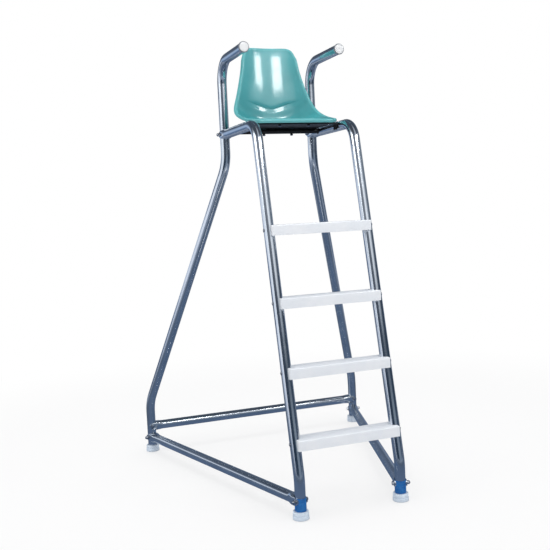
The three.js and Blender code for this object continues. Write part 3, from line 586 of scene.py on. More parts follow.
SEAT_W, SEAT_FRONT, SEAT_BACK, SEAT_BACK_H, SHELL_T = 480.0, 412.0, 34.0, 411.0, 5.0
PAN_Z = PLATE_TOP + 7.0
# RIM_GLOW is how far in from the shell's edge the painted highlight of the rolled rim fades out.
RIM_R, RIM_DROP, RIM_GLOW, RIM_EVEN = 8.0, 8.0, 11.0, 7.0
SEAT_SHARES = np.array([
    # reach, rise, edge reach, edge rise, half width, bowl, shoulder
    (0, 0.010, 0.012, 0.010, 0.80, 4, 4),
    (0.045, 0.025, 0.055, 0.022, 0.905, 4, 4),
    (0.19, 0.022, 0.177, 0.040, 0.945, 4, 4),
    (0.40, 0.010, 0.389, 0.080, 0.948, 4, 4),
    (0.585, 0.002, 0.574, 0.129, 0.942, 4, 4),
    (0.72, 0.001, 0.693, 0.179, 0.922, 3.8, 3.8),
    (0.835, 0.012, 0.767, 0.239, 0.887, 3.2, 3.2),
    (0.922, 0.089, 0.810, 0.313, 0.838, 2.7, 2.7),
    (0.944, 0.207, 0.831, 0.392, 0.790, 2.4, 2.4),
    (0.955, 0.392, 0.862, 0.516, 0.725, 2.3, 2.3),
    (0.967, 0.628, 0.892, 0.700, 0.646, 2.2, 2.2),
    (0.982, 0.851, 0.910, 0.849, 0.602, 2.2, 3),
    (0.992, 0.950, 0.928, 0.908, 0.570, 2.2, 5),
    (1, 1, 0.943, 0.963, 0.518, 2.2, 8)])
SEAT_ROWS, SEAT_COLUMNS = 220, 96
# The lumbar pad ends below in a V-shaped crease. The rows are closer together there.
CREASE_Z, CREASE_RISE, CREASE_SOFT = 1857.0, 0.30, 14.0
PAD_HEIGHT, PAD_STEP, PAD_LIP, PAD_REACH, PAD_HALF, PAD_FADE = 4.2, 5.0, 22.0, 190.0, 75.0, 85.0
PAD_SHARP = 0.4
LEDGE_HEIGHT, LEDGE_REACH = 1.6, 25.0
CREASE_SHARE, CREASE_SPREAD, CREASE_DENSITY = 0.645, 0.035, 5.0


def shares_at(share):
    """The seat table read between its rows along a smooth curve."""
    last = len(SEAT_SHARES) - 1
    at = share * last
    low = np.minimum(at.astype(int), last)
    t = (at - low)[:, None]
    p0, p1, p2, p3 = (SEAT_SHARES[np.clip(low + d, 0, last)] for d in (-1, 0, 1, 2))
    v0, v1 = (p2 - p0) / 2, (p3 - p1) / 2
    return (2 * p1 - 2 * p2 + v0 + v1) * t**3 + (-3 * p1 + 3 * p2 - 2 * v0 - v1) * t**2 + v0 * t + p1


def sheet_normals(points):
    along = np.cross(np.gradient(points, axis=1), np.gradient(points, axis=0))
    return along / np.linalg.norm(along, axis=2, keepdims=True)


def row_shares():
    """Shares from 0 to 1, closer together at the crease."""
    fine = np.linspace(0, 1, 4001)
    run = np.cumsum(1 + CREASE_DENSITY * np.exp(-(((fine - CREASE_SHARE) / CREASE_SPREAD) ** 2)))
    run = (run - run[0]) / (run[-1] - run[0])
    return np.interp(np.linspace(0, 1, SEAT_ROWS + 1), run, fine)


def sitting_face():
    rows = shares_at(row_shares())
    across = np.sin((np.arange(SEAT_COLUMNS + 1) / SEAT_COLUMNS - 0.5) * math.pi)
    reach, rise, edge_reach, edge_rise, half_width, bowl, shoulder = (rows[:, i : i + 1] for i in range(7))
    front = SEAT_FRONT - RIM_R
    depth, height = front - SEAT_BACK, SEAT_BACK_H - RIM_R
    x = across * half_width * (SEAT_W / 2 - RIM_R)
    y = -front + (reach + (edge_reach - reach) * np.abs(across) ** bowl) * depth
    z = PAN_Z + (rise + (edge_rise - rise) * np.abs(across) ** shoulder) * height
    points = np.stack([x, y, z], 2)
    above = z - CREASE_Z - CREASE_RISE * (np.sqrt(x**2 + CREASE_SOFT**2) - CREASE_SOFT)
    lip = PAD_SHARP * eased(above / PAD_STEP) + (1 - PAD_SHARP) * (1 - (1 - np.clip(above / PAD_LIP, 0, 1)) ** 2)
    pad = PAD_HEIGHT * lip * (1 - eased((above - PAD_LIP) / (PAD_REACH - PAD_LIP)))
    below = np.clip(-above, 0, None)
    pad += LEDGE_HEIGHT * eased(below / LEDGE_REACH) * (1 - eased((below - LEDGE_REACH) / (2 * LEDGE_REACH)))
    pad = pad * (1 - eased((np.abs(x) - PAD_HALF) / PAD_FADE))
    return points + sheet_normals(points) * pad[:, :, None]


def evened(line, directions, reach):
    """Directions along the pieces of a closed line, each averaged over the reach before and after its point."""
    span = np.linalg.norm(np.roll(line, -1, 0) - line, axis=1)
    units = directions / np.linalg.norm(directions, axis=1, keepdims=True)
    run = np.concatenate([[0], np.cumsum(np.tile(span, 3))])
    total = np.concatenate([np.zeros((1, 3)), np.cumsum(np.tile(units * span[:, None], (3, 1)), axis=0)])
    here = run[len(line) : 2 * len(line)]
    until = lambda s: np.stack([np.interp(s, run, total[:, i]) for i in range(3)], 1)
    mean = until(here + reach) - until(here - reach)
    return mean / np.linalg.norm(mean, axis=1, keepdims=True)


def seat_shell(name):
    points = sitting_face()
    normals = sheet_normals(points)
    rows, columns = SEAT_ROWS + 1, SEAT_COLUMNS + 1
    loop = [(0, c) for c in range(columns - 1)] + [(r, columns - 1) for r in range(rows - 1)]
    loop += [(rows - 1, c) for c in range(columns - 1, 0, -1)] + [(r, 0) for r in range(rows - 1, 0, -1)]
    edge = np.array([points[i] for i in loop])
    up = evened(edge, np.array([normals[i] for i in loop]), RIM_EVEN)
    out = evened(edge, np.cross(np.roll(edge, -1, 0) - edge, up), RIM_EVEN)
    half = SHELL_T / 2
    quarter = np.linspace(0, math.pi / 2, 9)
    profile = [(RIM_R * math.sin(a), RIM_R * (math.cos(a) - 1)) for a in quarter[1:]]
    profile += [(RIM_R, -RIM_R - RIM_DROP * t) for t in (0.35, 0.69)]
    low = -RIM_R - RIM_DROP + half
    lip = np.linspace(0, math.pi, 9)[1:]
    profile += [(RIM_R - half + half * math.cos(a), low - half * math.sin(a)) for a in lip]
    inner = RIM_R - SHELL_T
    profile += [(inner * math.sin(a), -RIM_R + inner * math.cos(a)) for a in quarter[::-1][:-1]]
    verts = [points.reshape(-1, 3), (points - normals * SHELL_T).reshape(-1, 3)]
    verts += [edge + out * o + up * u for o, u in profile]
    total = rows * columns
    index = lambda r, c: r * columns + c
    faces = []
    for r in range(rows - 1):
        for c in range(columns - 1):
            quad = (index(r, c), index(r, c + 1), index(r + 1, c + 1), index(r + 1, c))
            faces.append(quad)
            faces.append(tuple(total + v for v in quad[::-1]))
    count = len(loop)
    rings = [[index(*i) for i in loop]]
    rings += [[2 * total + step * count + i for i in range(count)] for step in range(len(profile))]
    rings += [[total + index(*i) for i in loop]]
    for a, b in zip(rings, rings[1:]):
        for i in range(count):
            j = (i + 1) % count
            faces.append((a[i], b[i], b[j], a[j]))
    across = np.linalg.norm(np.diff(points, axis=1), axis=2)
    across = np.concatenate([np.zeros((rows, 1)), np.cumsum(across, axis=1)], 1)
    along = np.linalg.norm(np.diff(points, axis=0), axis=2)
    along = np.concatenate([np.zeros((1, columns)), np.cumsum(along, axis=0)], 0)
    inward = np.minimum(np.minimum(across, across[:, -1:] - across), np.minimum(along, along[-1:] - along))
    # Near the shell's edge and over the whole rolled rim, the material paints a lighter band as a painted
    # highlight of the rim, and it thins the coat there. The underside gets none.
    rim = 1 - eased(inward / RIM_GLOW)
    rim = np.concatenate([rim.ravel(), np.zeros(total), np.ones(len(profile) * count)])
    shell = mesh_object(name, np.concatenate(verts) + Y * POST_Y, faces)
    attribute = shell.data.attributes.new("edge", "FLOAT", "POINT")
    attribute.data.foreach_set("value", rim.astype(np.float32))
    return shell, points


def seat_height(points, x, y):
    """The pan's height at a place, from the nearest point of its sheet."""
    pan = points[: SEAT_ROWS // 3].reshape(-1, 3)
    return float(pan[np.argmin((pan[:, 0] - x) ** 2 + (pan[:, 1] - y) ** 2), 2])


def seat_bosses(points):
    made = []
    bore, foot_z, low = SEAT_BOLT_R + GAP, SUPPORT_TOP + GAP, PLATE_TOP + GAP
    for x, y, _ in SEAT_BOLTS:
        top = seat_height(points, x, y) - SHELL_T + 2
        profile = rounded([(bore, foot_z, 0.4), (SPIGOT_R, foot_z, 0.6), (SPIGOT_R, low, 0.5),
                           (BOSS_R, low, 0.6), (BOSS_R, top, 0), (bore, top, 0)], 3)
        made.append(place(lathe("boss", profile, 48), to_row(Matrix.Translation((x, y, 0)))))
    return made


def joined(obj, others):
    """Other meshes become part of obj, each still a closed surface of its own."""
    work = bmesh.new()
    work.from_mesh(obj.data)
    for other in others:
        work.from_mesh(other.data)
        mesh = other.data
        bpy.data.objects.remove(other)
        bpy.data.meshes.remove(mesh)
    work.to_mesh(obj.data)
    work.free()
    return obj


# Fasteners. Each is made along Z with its bearing face at zero.

FLANGE_R, FLANGE_H, FLATS, HEAD_H, NUT_H, DOME_H, NUT_BORE = 11.0, 2.0, 16.0, 6.4, 8.0, 6.0, 9.0
SEAT_HEAD_R, SEAT_HEAD_H, TREAD_HEAD_R, TREAD_HEAD_H, SOCKET_DEPTH = 9.0, 4.0, 8.5, 3.5, 2.4


def hexagon(flats, low, high):
    return prism("hex", circle(flats / 2 / math.cos(math.pi / 6), 6), low, high)


def chamfered_hex(low, high):
    """A hexagon whose corners are turned off towards its top."""
    corner, flat = FLATS / 2 / math.cos(math.pi / 6), FLATS / 2 - 0.3
    reach, fall = corner + 0.2, (corner - flat) * math.tan(math.radians(30))
    tool = lathe("turn", [(0, low), (reach, low), (reach, high - fall), (flat, high), (0, high)], 48)
    return carve(hexagon(FLATS, low, high), tool, how="INTERSECT")


def flange():
    outline = rounded([(0.01, 0, 0), (FLANGE_R, 0, 0.4), (FLANGE_R, FLANGE_H * 0.55, 0.5),
                       (FLATS / 2 + 0.6, FLANGE_H, 0.5), (0.01, FLANGE_H, 0)], 4)
    return lathe("flange", [(0, 0), *outline[1:-1], (0, FLANGE_H)], 48)


def flange_bolt(name, length):
    top = FLANGE_H + HEAD_H
    head = unite(chamfered_hex(FLANGE_H / 2, top), flange())
    carve(head, lathe("dish", [(0, top - 0.6), (5.0, top - 0.6), (5.6, top + 1), (0, top + 1)], 32))
    unite(head, rod("shank", (0, 0, -length), (0, 0, FLANGE_H / 2), BOLT_R, 32))
    head.name = name
    return head


def cap_nut(name):
    top = FLANGE_H + NUT_H
    reach = FLATS / 2 - 0.5
    turns = np.linspace(0, math.pi / 2, 10)
    arc = [(reach * math.cos(a), top + 1.2 + (DOME_H - 1.2) * math.sin(a)) for a in turns]
    dome = lathe("dome", [(0, FLANGE_H), (reach, FLANGE_H), *arc[:-1], (0, top + DOME_H)], 48)
    nut = unite(chamfered_hex(FLANGE_H / 2, top), flange(), dome)
    carve(nut, rod("bore", (0, 0, -OVERRUN), (0, 0, NUT_BORE), BOLT_R + GAP, 32))
    nut.name = name
    return nut


def button_bolt(name, shank, length, radius, height):
    """A low domed head with a hexagon socket."""
    sphere = (radius**2 + height**2) / (2 * height)
    rise = lambda r: height - sphere + math.sqrt(sphere**2 - r * r)
    arc = [(r, rise(r)) for r in np.linspace(radius - 0.25, 0, 12)[:-1]]
    bolt = lathe(name, [(0, -length), (shank - 0.6, -length), (shank, 0.6 - length), (shank, 0),
                        (radius - 0.3, 0), (radius, 0.4), *arc, (0, height)], 48)
    return carve(bolt, hexagon(shank * 1.25, height - SOCKET_DEPTH, height + 1))


def ear_place(joint, end, distance):
    return joint @ Matrix.Rotation(-end * math.pi / 2, 4, "X") @ Matrix.Translation((0, 0, distance))


# Weld beads along a path: a row of overlapping ripples

BEARER_WELD_R, BEARER_WELD_IN, WELD_LIFT = 2.1, 0.9, 0.8
STRAP_WELD_R, STRAP_WELD_IN, STRAP_WELD_END, STRAP_WELD_UP = 2.4, 1.4, 3, 11.0


def weld(name, path, radius, ripple=2.2, closed=False, count=10):
    path = np.array(path, float)
    ends = np.vstack([path, path[:1]]) if closed else path
    run = np.concatenate([[0], np.cumsum(np.linalg.norm(np.diff(ends, axis=0), axis=1))])
    total = run[-1]
    at = np.linspace(0, total, max(24, int(total / ripple * 6)), endpoint=not closed)
    line = np.stack([np.interp(at, run, ends[:, i]) for i in range(3)], 1)
    ahead = np.roll(line, -1, 0) - np.roll(line, 1, 0) if closed else np.gradient(line, axis=0)
    ahead /= np.linalg.norm(ahead, axis=1, keepdims=True)
    phase = (at / ripple) % 1.0
    size = radius * (0.88 + 0.16 * np.sqrt(np.clip(1 - (2 * phase - 1) ** 2, 0, 1)))
    size *= 1 + 0.06 * np.sin(at * 0.37 + 1.3) * np.cos(at * 0.11)
    if not closed:
        size *= np.sqrt(np.clip(np.minimum(at, total - at) / radius, 0.02, 1))
    beads = zip(carried(zip(line, ahead), sideways(ahead[0])), size)
    return loft(name, [round_ring(*station, s, count) for station, s in beads], closed)


def bearer_weld(name, side):
    ring = BEARER_R + WELD_LIFT
    path = []
    for a in np.linspace(0, 2 * math.pi, 60, endpoint=False):
        out, up = ring * math.cos(a), ring * math.sin(a)
        x = RAIL_HALF - math.sqrt(TUBE_R**2 - up**2) - BEARER_WELD_IN
        path.append((side * x, POST_Y - BEARER_REACH + out, SEAT_RAIL_Z + up))
    return weld(name, path, BEARER_WELD_R, closed=True)


def strap_weld(name, side, up):
    x = side * (RAIL_HALF - math.sqrt(TUBE_R**2 - up**2) - STRAP_WELD_IN)
    half, z = STRAP_W / 2 - STRAP_WELD_END, SEAT_RAIL_Z + up
    return weld(name, [(x, POST_Y - STRAP_REACH + s * half, z) for s in (-1, 1)], STRAP_WELD_R)


# Materials


class Looks:
    """A node material that is built up step by step."""

    def __init__(self, name):
        self.material = bpy.data.materials.new(name)
        self.material.use_nodes = True
        self.tree = self.material.node_tree
        self.shader = self.tree.nodes["Principled BSDF"]
        self.coordinates = self.node("ShaderNodeTexCoord").outputs["Object"]

    def node(self, kind, **settings):
        made = self.tree.nodes.new(kind)
        for key, value in settings.items():
            setattr(made, key, value)
        return made

    def link(self, out, into):
        self.tree.links.new(out, into)
        return out

    def stretched(self, scale):
        mapping = self.node("ShaderNodeMapping")
        mapping.inputs["Scale"].default_value = scale
        self.link(self.coordinates, mapping.inputs["Vector"])
        return mapping.outputs["Vector"]

    def noise(self, scale, detail=3.0, roughness=0.5, vector=None):
        made = self.node("ShaderNodeTexNoise")
        made.inputs["Scale"].default_value = scale
        made.inputs["Detail"].default_value = detail
        made.inputs["Roughness"].default_value = roughness
        self.link(vector or self.coordinates, made.inputs["Vector"])
        return made.outputs["Fac"]

    def cells(self, scale):
        made = self.node("ShaderNodeTexVoronoi", feature="F1")
        made.inputs["Scale"].default_value = scale
        self.link(self.coordinates, made.inputs["Vector"])
        return made.outputs["Distance"]

    def band(self, value, low, high, out_low=0.0, out_high=1.0):
        made = self.node("ShaderNodeMapRange")
        made.interpolation_type = "SMOOTHSTEP"
        for key, number in (("From Min", low), ("From Max", high), ("To Min", out_low), ("To Max", out_high)):
            made.inputs[key].default_value = number
        self.link(value, made.inputs["Value"])
        return made.outputs["Result"]

    def feed(self, socket, value):
        """Gives an input a colour, a number or another node's output."""
        if isinstance(value, bpy.types.NodeSocket):
            self.link(value, socket)
        elif isinstance(value, tuple):
            socket.default_value = (*value, 1)
        else:
            socket.default_value = value

    def maths(self, how, a, b):
        made = self.node("ShaderNodeMath", operation=how)
        for socket, value in zip(made.inputs, (a, b)):
            self.feed(socket, value)
        return made.outputs[0]

    def mix(self, share, a, b):
        made = self.node("ShaderNodeMix", data_type="RGBA")
        for index, value in ((0, share), (6, a), (7, b)):
            self.feed(made.inputs[index], value)
        return made.outputs[2]

    def axis(self, letter):
        made = self.node("ShaderNodeSeparateXYZ")
        self.link(self.coordinates, made.inputs[0])
        return made.outputs[letter]

    def upward(self):
        geometry = self.node("ShaderNodeNewGeometry")
        made = self.node("ShaderNodeSeparateXYZ")
        self.link(geometry.outputs["Normal"], made.inputs[0])
        return made.outputs["Z"]

    def attribute(self, name):
        return self.node("ShaderNodeAttribute", attribute_name=name).outputs["Fac"]

    def bump(self, height, distance, strength=1.0):
        made = self.node("ShaderNodeBump")
        made.inputs["Distance"].default_value = distance
        made.inputs["Strength"].default_value = strength
        self.link(height, made.inputs["Height"])
        before = self.shader.inputs["Normal"].links
        if before:
            self.link(before[0].from_socket, made.inputs["Normal"])
        self.link(made.outputs["Normal"], self.shader.inputs["Normal"])

    def set(self, **values):
        for key, value in values.items():
            self.feed(self.shader.inputs[key.replace("_", " ")], value)


def stainless_look():
    look = Looks("stainless")
    look.set(Metallic=1.0)
    smudge = look.noise(9, 4, 0.55)
    fine = look.noise(260, 2, 0.5)
    look.set(Base_Color=look.mix(look.band(smudge, 0.35, 0.7), (0.62, 0.66, 0.71), (0.70, 0.74, 0.79)))
    rough = look.band(smudge, 0.3, 0.75, 0.11, 0.18)
    look.set(Roughness=look.maths("ADD", rough, look.band(fine, 0.45, 0.75, 0.0, 0.05)))
    look.bump(look.noise(14, 1, 0.4), 0.0010, 0.02)
    look.bump(look.noise(700, 1, 0.5), 0.00003, 0.10)
    return look.material


def fastener_look():
    look = Looks("fastener_steel")
    look.set(Metallic=1.0)
    cloud = look.noise(120, 3, 0.6)
    look.set(Base_Color=look.mix(look.band(cloud, 0.35, 0.7), (0.36, 0.38, 0.42), (0.50, 0.52, 0.56)))
    look.set(Roughness=look.band(cloud, 0.3, 0.7, 0.14, 0.32))
    look.bump(look.noise(1500, 2, 0.6), 0.00005, 0.3)
    return look.material


def brass_look():
    look = Looks("brass")
    look.set(Metallic=1.0)
    cloud = look.noise(180, 3, 0.6)
    look.set(Base_Color=look.mix(look.band(cloud, 0.3, 0.7), (0.55, 0.39, 0.15), (0.70, 0.52, 0.24)))
    look.set(Roughness=look.band(cloud, 0.3, 0.7, 0.22, 0.4))
    look.bump(look.cells(1400), 0.00008, 0.4)
    return look.material


def tread_look():
    look = Looks("white_plastic")
    cloud = look.noise(12, 4, 0.6)
    white = look.mix(look.band(cloud, 0.35, 0.7), (0.80, 0.835, 0.885), (0.845, 0.87, 0.91))
    streaks = look.noise(1.0, 4, 0.6, look.stretched((14, 160, 160)))
    worn = look.maths("MULTIPLY", look.band(streaks, 0.60, 0.78), look.band(look.upward(), 0.6, 0.95))
    look.set(Base_Color=look.mix(look.maths("MULTIPLY", worn, 0.16), white, (0.60, 0.62, 0.64)))
    look.set(Roughness=look.band(look.noise(70, 3), 0.3, 0.7, 0.30, 0.44))
    look.bump(look.cells(1300), 0.00010, 0.30)
    look.bump(look.noise(420, 3, 0.6), 0.00010, 0.25)
    return look.material


def cap_look():
    look = Looks("cap_plastic")
    cloud = look.noise(40, 3, 0.6)
    white = look.mix(look.band(cloud, 0.35, 0.7), (0.71, 0.725, 0.74), (0.75, 0.76, 0.775))
    # A dark grey ring painted round the rim stands in for the shade on the cap's rounded edge. The noise only
    # varies its strength.
    patches = look.band(look.noise(90, 3, 0.6), 0.2, 0.6, 0.82, 0.94)
    painted_edge_shade = look.maths("MULTIPLY", look.attribute("edge"), patches)
    look.set(Base_Color=look.mix(painted_edge_shade, white, (0.11, 0.13, 0.16)))
    look.set(Roughness=look.band(look.noise(160, 3), 0.3, 0.7, 0.26, 0.38))
    look.bump(look.noise(900, 2, 0.6), 0.00006, 0.3)
    return look.material


def rubber_look():
    look = Looks("foot_rubber")
    cloud = look.noise(60, 4, 0.65)
    clean = look.mix(look.band(cloud, 0.35, 0.7), (0.62, 0.71, 0.82), (0.70, 0.79, 0.89))
    low = look.band(look.axis("Z"), 0.0, 0.010, 1.0, 0.0)
    dirt = look.maths("MULTIPLY", low, look.band(look.noise(110, 4, 0.7), 0.30, 0.65))
    look.set(Base_Color=look.mix(look.maths("MULTIPLY", dirt, 0.55), clean, (0.22, 0.23, 0.23)))
    look.set(Roughness=look.band(cloud, 0.3, 0.7, 0.45, 0.62))
    look.bump(look.cells(1100), 0.00010, 0.35)
    return look.material


def sleeve_look():
    look = Looks("blue_plastic")
    cloud = look.noise(35, 4, 0.6)
    look.set(Base_Color=look.mix(look.band(cloud, 0.35, 0.7), (0.010, 0.110, 0.36), (0.018, 0.160, 0.46)))
    scuff = look.noise(1.0, 4, 0.7, look.stretched((60, 60, 700)))
    look.set(Roughness=look.band(scuff, 0.4, 0.7, 0.20, 0.36))
    look.bump(look.noise(300, 3, 0.6), 0.00012, 0.3)
    return look.material


def paint_look():
    look = Looks("black_paint")
    cloud = look.noise(25, 4, 0.6)
    look.set(Base_Color=look.mix(look.band(cloud, 0.35, 0.7), (0.006, 0.0065, 0.0075), (0.011, 0.0115, 0.013)))
    look.set(Roughness=look.band(look.noise(90, 3), 0.3, 0.7, 0.32, 0.5), Specular_IOR_Level=0.35)
    look.bump(look.cells(700), 0.00015, 0.35)
    return look.material


def seat_look():
    look = Looks("seat_plastic")
    cloud = look.noise(5.5, 4, 0.55)
    speck = look.noise(1400, 2, 0.5)
    body = look.mix(look.band(cloud, 0.32, 0.7), (0.043, 0.325, 0.350), (0.070, 0.375, 0.400))
    body = look.mix(look.maths("MULTIPLY", look.band(speck, 0.62, 0.8), 0.12), body, (0.16, 0.50, 0.53))
    # The rim is painted a lighter teal, a painted highlight along the rolled edge.
    rim = look.band(look.attribute("edge"), 0.0, 1.0, 0.0, 0.55)
    look.set(Base_Color=look.mix(rim, body, (0.16, 0.49, 0.51)))
    scratch = look.noise(1.0, 3, 0.6, look.stretched((30, 30, 380)))
    look.set(Roughness=look.band(scratch, 0.45, 0.8, 0.30, 0.42))
    look.bump(look.noise(34, 2, 0.4), 0.0006, 0.05)
    look.bump(look.noise(1100, 2, 0.5), 0.00003, 0.15)
    edge = look.attribute("edge")
    look.set(Coat_Weight=look.band(edge, 0.3, 1.0, 1.0, 0.25), Coat_Roughness=0.115, Coat_IOR=1.65)
    return look.material


LOOKS = {
    "stainless": stainless_look(),
    "fastener_steel": fastener_look(),
    "brass": brass_look(),
    "white_plastic": tread_look(),
    "cap": cap_look(),
    "foot_rubber": rubber_look(),
    "blue_plastic": sleeve_look(),
    "black_paint": paint_look(),
    "seat_plastic": seat_look()}
SMOOTH_BELOW = math.radians(34)


def finish_piece(obj, look, *nodes, slot=None):
    """Gives a piece its look and smooth shading, hides the CAD nodes it replaces and hangs it under the root body.
    The slot, the look's name unless another is given, is not used.
    """
    slot = slot or look
    mesh = obj.data
    mesh.materials.clear()
    mesh.materials.append(LOOKS[look])
    mesh.polygons.foreach_set("use_smooth", [True] * len(mesh.polygons))
    mesh.set_sharp_from_angle(angle=SMOOTH_BELOW)
    if nodes:
        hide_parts(*nodes)
    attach(obj, "root")

# The pieces

for word, side in SIDES.items():
    finish_piece(front_rail(f"{word}_front_rail_tube", side), "stainless", f"{word}_front_rail")
    finish_piece(rear_post(f"{word}_rear_post_tube", side), "stainless", f"{word}_rear_post")
    ends = front_base_joint(side), SLEEVE_GRIP, rear_base_joint(side), POST_GRIP
    finish_piece(forked_tube(f"{word}_side_tube_forked", *ends), "stainless", f"{word}_side_tube")
    for row, x, y in (("front", RAIL_HALF, -FRONT_REACH), ("rear", REAR_HALF, REAR_REACH)):
        finish_piece(foot(f"{row}_{word}_foot_rubber", side * x, y), "foot_rubber", f"{row}_{word}_foot")
    finish_piece(leg_sleeve(f"{word}_sleeve", side), "blue_plastic", f"{word}_leg_sleeve")
    finish_piece(handrail_cap(f"{word}_end_cap", side), "cap", f"{word}_handrail_cap", slot="white_plastic")
    for joint_name, joint, grip, outward in (
            ("seat_rail", seat_rail_joint(side), POST_GRIP, -side),
            ("front_base", front_base_joint(side), SLEEVE_GRIP, side),
            ("rear_base", rear_base_joint(side), POST_GRIP, -side),
            ("cross_tube", cross_tube_joint(side), POST_GRIP, side)):
        face = grip + EAR + GAP
        bolt = flange_bolt(f"{word}_{joint_name}_hex_bolt", 2 * face + NUT_BORE - 2)
        place(bolt, to_row(ear_place(joint, -outward, face)))
        finish_piece(bolt, "fastener_steel", f"{word}_{joint_name}_bolt")
        nut = place(cap_nut(f"{word}_{joint_name}_acorn_nut"), to_row(ear_place(joint, outward, face)))
        finish_piece(nut, "fastener_steel", f"{word}_{joint_name}_cap_nut")
    for index in range(TREADS):
        middle, face = tread_z(index) + TREAD_H / 2, RAIL_HALF + TUBE_R + GAP
        bolt_name, length = f"tread_{index + 1}_{word}", face - INSERT_IN
        bolt = button_bolt(f"{bolt_name}_button_bolt", TREAD_BOLT_R, length, TREAD_HEAD_R, TREAD_HEAD_H)
        turn = Matrix.Rotation(side * math.pi / 2, 4, "Y")
        turn.translation = (side * face, rail_y(middle), middle)
        finish_piece(place(bolt, to_row(turn)), "fastener_steel", f"{bolt_name}_bolt")
    finish_piece(bearer_weld(f"{word}_bearer_weld", side), "black_paint")
    for level_name, up in (("upper", STRAP_WELD_UP), ("lower", -STRAP_WELD_UP)):
        finish_piece(strap_weld(f"{word}_strap_{level_name}_weld", side, up), "black_paint")

cross = forked_tube("rear_cross_tube_forked", cross_tube_joint(-1), POST_GRIP, cross_tube_joint(1), POST_GRIP)
finish_piece(cross, "stainless", "rear_cross_tube")
finish_piece(seat_bearer("seat_bearer_tube"), "black_paint", "rear_seat_bearer")
finish_piece(seat_strap("seat_strap_bent"), "black_paint", "front_seat_strap")
finish_piece(seat_plate("seat_plate_flat"), "black_paint", "seat_plate")
for index in range(TREADS):
    finish_piece(tread(f"tread_{index + 1}_moulded", index), "white_plastic", f"tread_{index + 1}")

shell, pan = seat_shell("seat_bucket")
joined(shell, seat_bosses(pan))
finish_piece(shell, "seat_plastic", "seat_shell")
for (x, y, reach), word in zip(SEAT_BOLTS, ("front_left", "front_right", "rear_left", "rear_right")):
    bottom = SUPPORT_TOP - (STRAP_T if reach == STRAP_REACH else 2 * BEARER_R) - BUSH_REACH - GAP
    length = seat_height(pan, x, y) - SEAT_BOLT_SHORT - bottom
    bolt = button_bolt(f"{word}_seat_button_bolt", SEAT_BOLT_R, length, SEAT_HEAD_R, SEAT_HEAD_H)
    turn = Matrix.Rotation(math.pi, 4, "X")
    turn.translation = (x, y, bottom)
    finish_piece(place(bolt, to_row(turn)), "fastener_steel", f"{word}_seat_bolt")

# Only the brass inserts keep their own meshes
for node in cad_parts.values():
    if not node.hide_render:
        node.data.materials.clear()
        node.data.materials.append(LOOKS["brass"])

# Camera

CAMERA_AT = (-1430.292, -4013.654, 1344.388)
YAW, PITCH, ROLL = 0.341112, 0.0821615, -0.0480224
FOCAL_PX, FRAME_PX, CENTRE_PX = 801.73, 550.0, (274.846, 274.358)
SENSOR = 36.0

ahead = Vector((math.sin(YAW) * math.cos(PITCH), math.cos(YAW) * math.cos(PITCH), -math.sin(PITCH)))
level_right = Vector((math.cos(YAW), -math.sin(YAW), 0))
level_up = level_right.cross(ahead)
right = math.cos(ROLL) * level_right + math.sin(ROLL) * level_up
up = -math.sin(ROLL) * level_right + math.cos(ROLL) * level_up
lens = bpy.data.cameras.new("camera")
camera = bpy.data.objects.new("camera", lens)
scene.collection.objects.link(camera)
camera.matrix_world = Matrix((
    (right.x, up.x, -ahead.x, CAMERA_AT[0] * MM), (right.y, up.y, -ahead.y, (CAMERA_AT[1] + POST_Y) * MM),
    (right.z, up.z, -ahead.z, CAMERA_AT[2] * MM), (0, 0, 0, 1)))
lens.sensor_width = SENSOR
lens.lens = FOCAL_PX / FRAME_PX * SENSOR
lens.shift_x = (FRAME_PX / 2 - CENTRE_PX[0]) / FRAME_PX
lens.shift_y = (CENTRE_PX[1] - FRAME_PX / 2) / FRAME_PX
lens.clip_start, lens.clip_end = 0.05, 100
scene.camera = camera

# Studio: a pale floor, a white surround, panels that only reflections see, and four soft boxes. It is in metres.


def around(angle, distance, height):
    """A place round the chair. Angle zero is the camera's side, and it grows towards the camera's right."""
    turn = math.radians(angle) - YAW
    return (math.sin(turn) * distance, -math.cos(turn) * distance, height)


def seen_directly(tree):
    """One for camera and glossy and transmission rays, and zero for the rest."""
    path = tree.nodes.new("ShaderNodeLightPath")
    seen = path.outputs["Is Camera Ray"]
    for kind in ("Is Glossy Ray", "Is Transmission Ray"):
        either = tree.nodes.new("ShaderNodeMath")
        either.operation = "MAXIMUM"
        tree.links.new(seen, either.inputs[0])
        tree.links.new(path.outputs[kind], either.inputs[1])
        seen = either.outputs[0]
    return seen


def flat_mesh(name, points, faces):
    obj = linked_mesh(name, points, faces)
    return obj


PANEL_REACH, PANEL_TOP, PANEL_STEP = 6.0, 7.0, 10.0
DISC_STEPS, FLOOR_DISC_Z = 24, 0.003


def glow_material(name, value, stops):
    """Plain glow whose colour follows a value: value(tree) gives the socket, and stops are (value, colour)."""
    material = bpy.data.materials.new(name)
    material.use_nodes = True
    tree = material.node_tree
    tree.nodes.remove(tree.nodes["Principled BSDF"])
    low, high = stops[0][0], stops[-1][0]
    share = tree.nodes.new("ShaderNodeMapRange")
    share.inputs["From Min"].default_value = low
    share.inputs["From Max"].default_value = high
    tree.links.new(value(tree), share.inputs["Value"])
    ramp = tree.nodes.new("ShaderNodeValToRGB")
    ramp.color_ramp.interpolation = "EASE"
    for index, (at, colour) in enumerate(stops):
        element = ramp.color_ramp.elements[index] if index < 2 else ramp.color_ramp.elements.new(1.0)
        element.position = (at - low) / (high - low)
        element.color = (*colour, 1)
    tree.links.new(share.outputs["Result"], ramp.inputs["Fac"])
    glow = tree.nodes.new("ShaderNodeEmission")
    tree.links.new(ramp.outputs["Color"], glow.inputs["Color"])
    tree.links.new(glow.outputs[0], tree.nodes["Material Output"].inputs["Surface"])
    return material


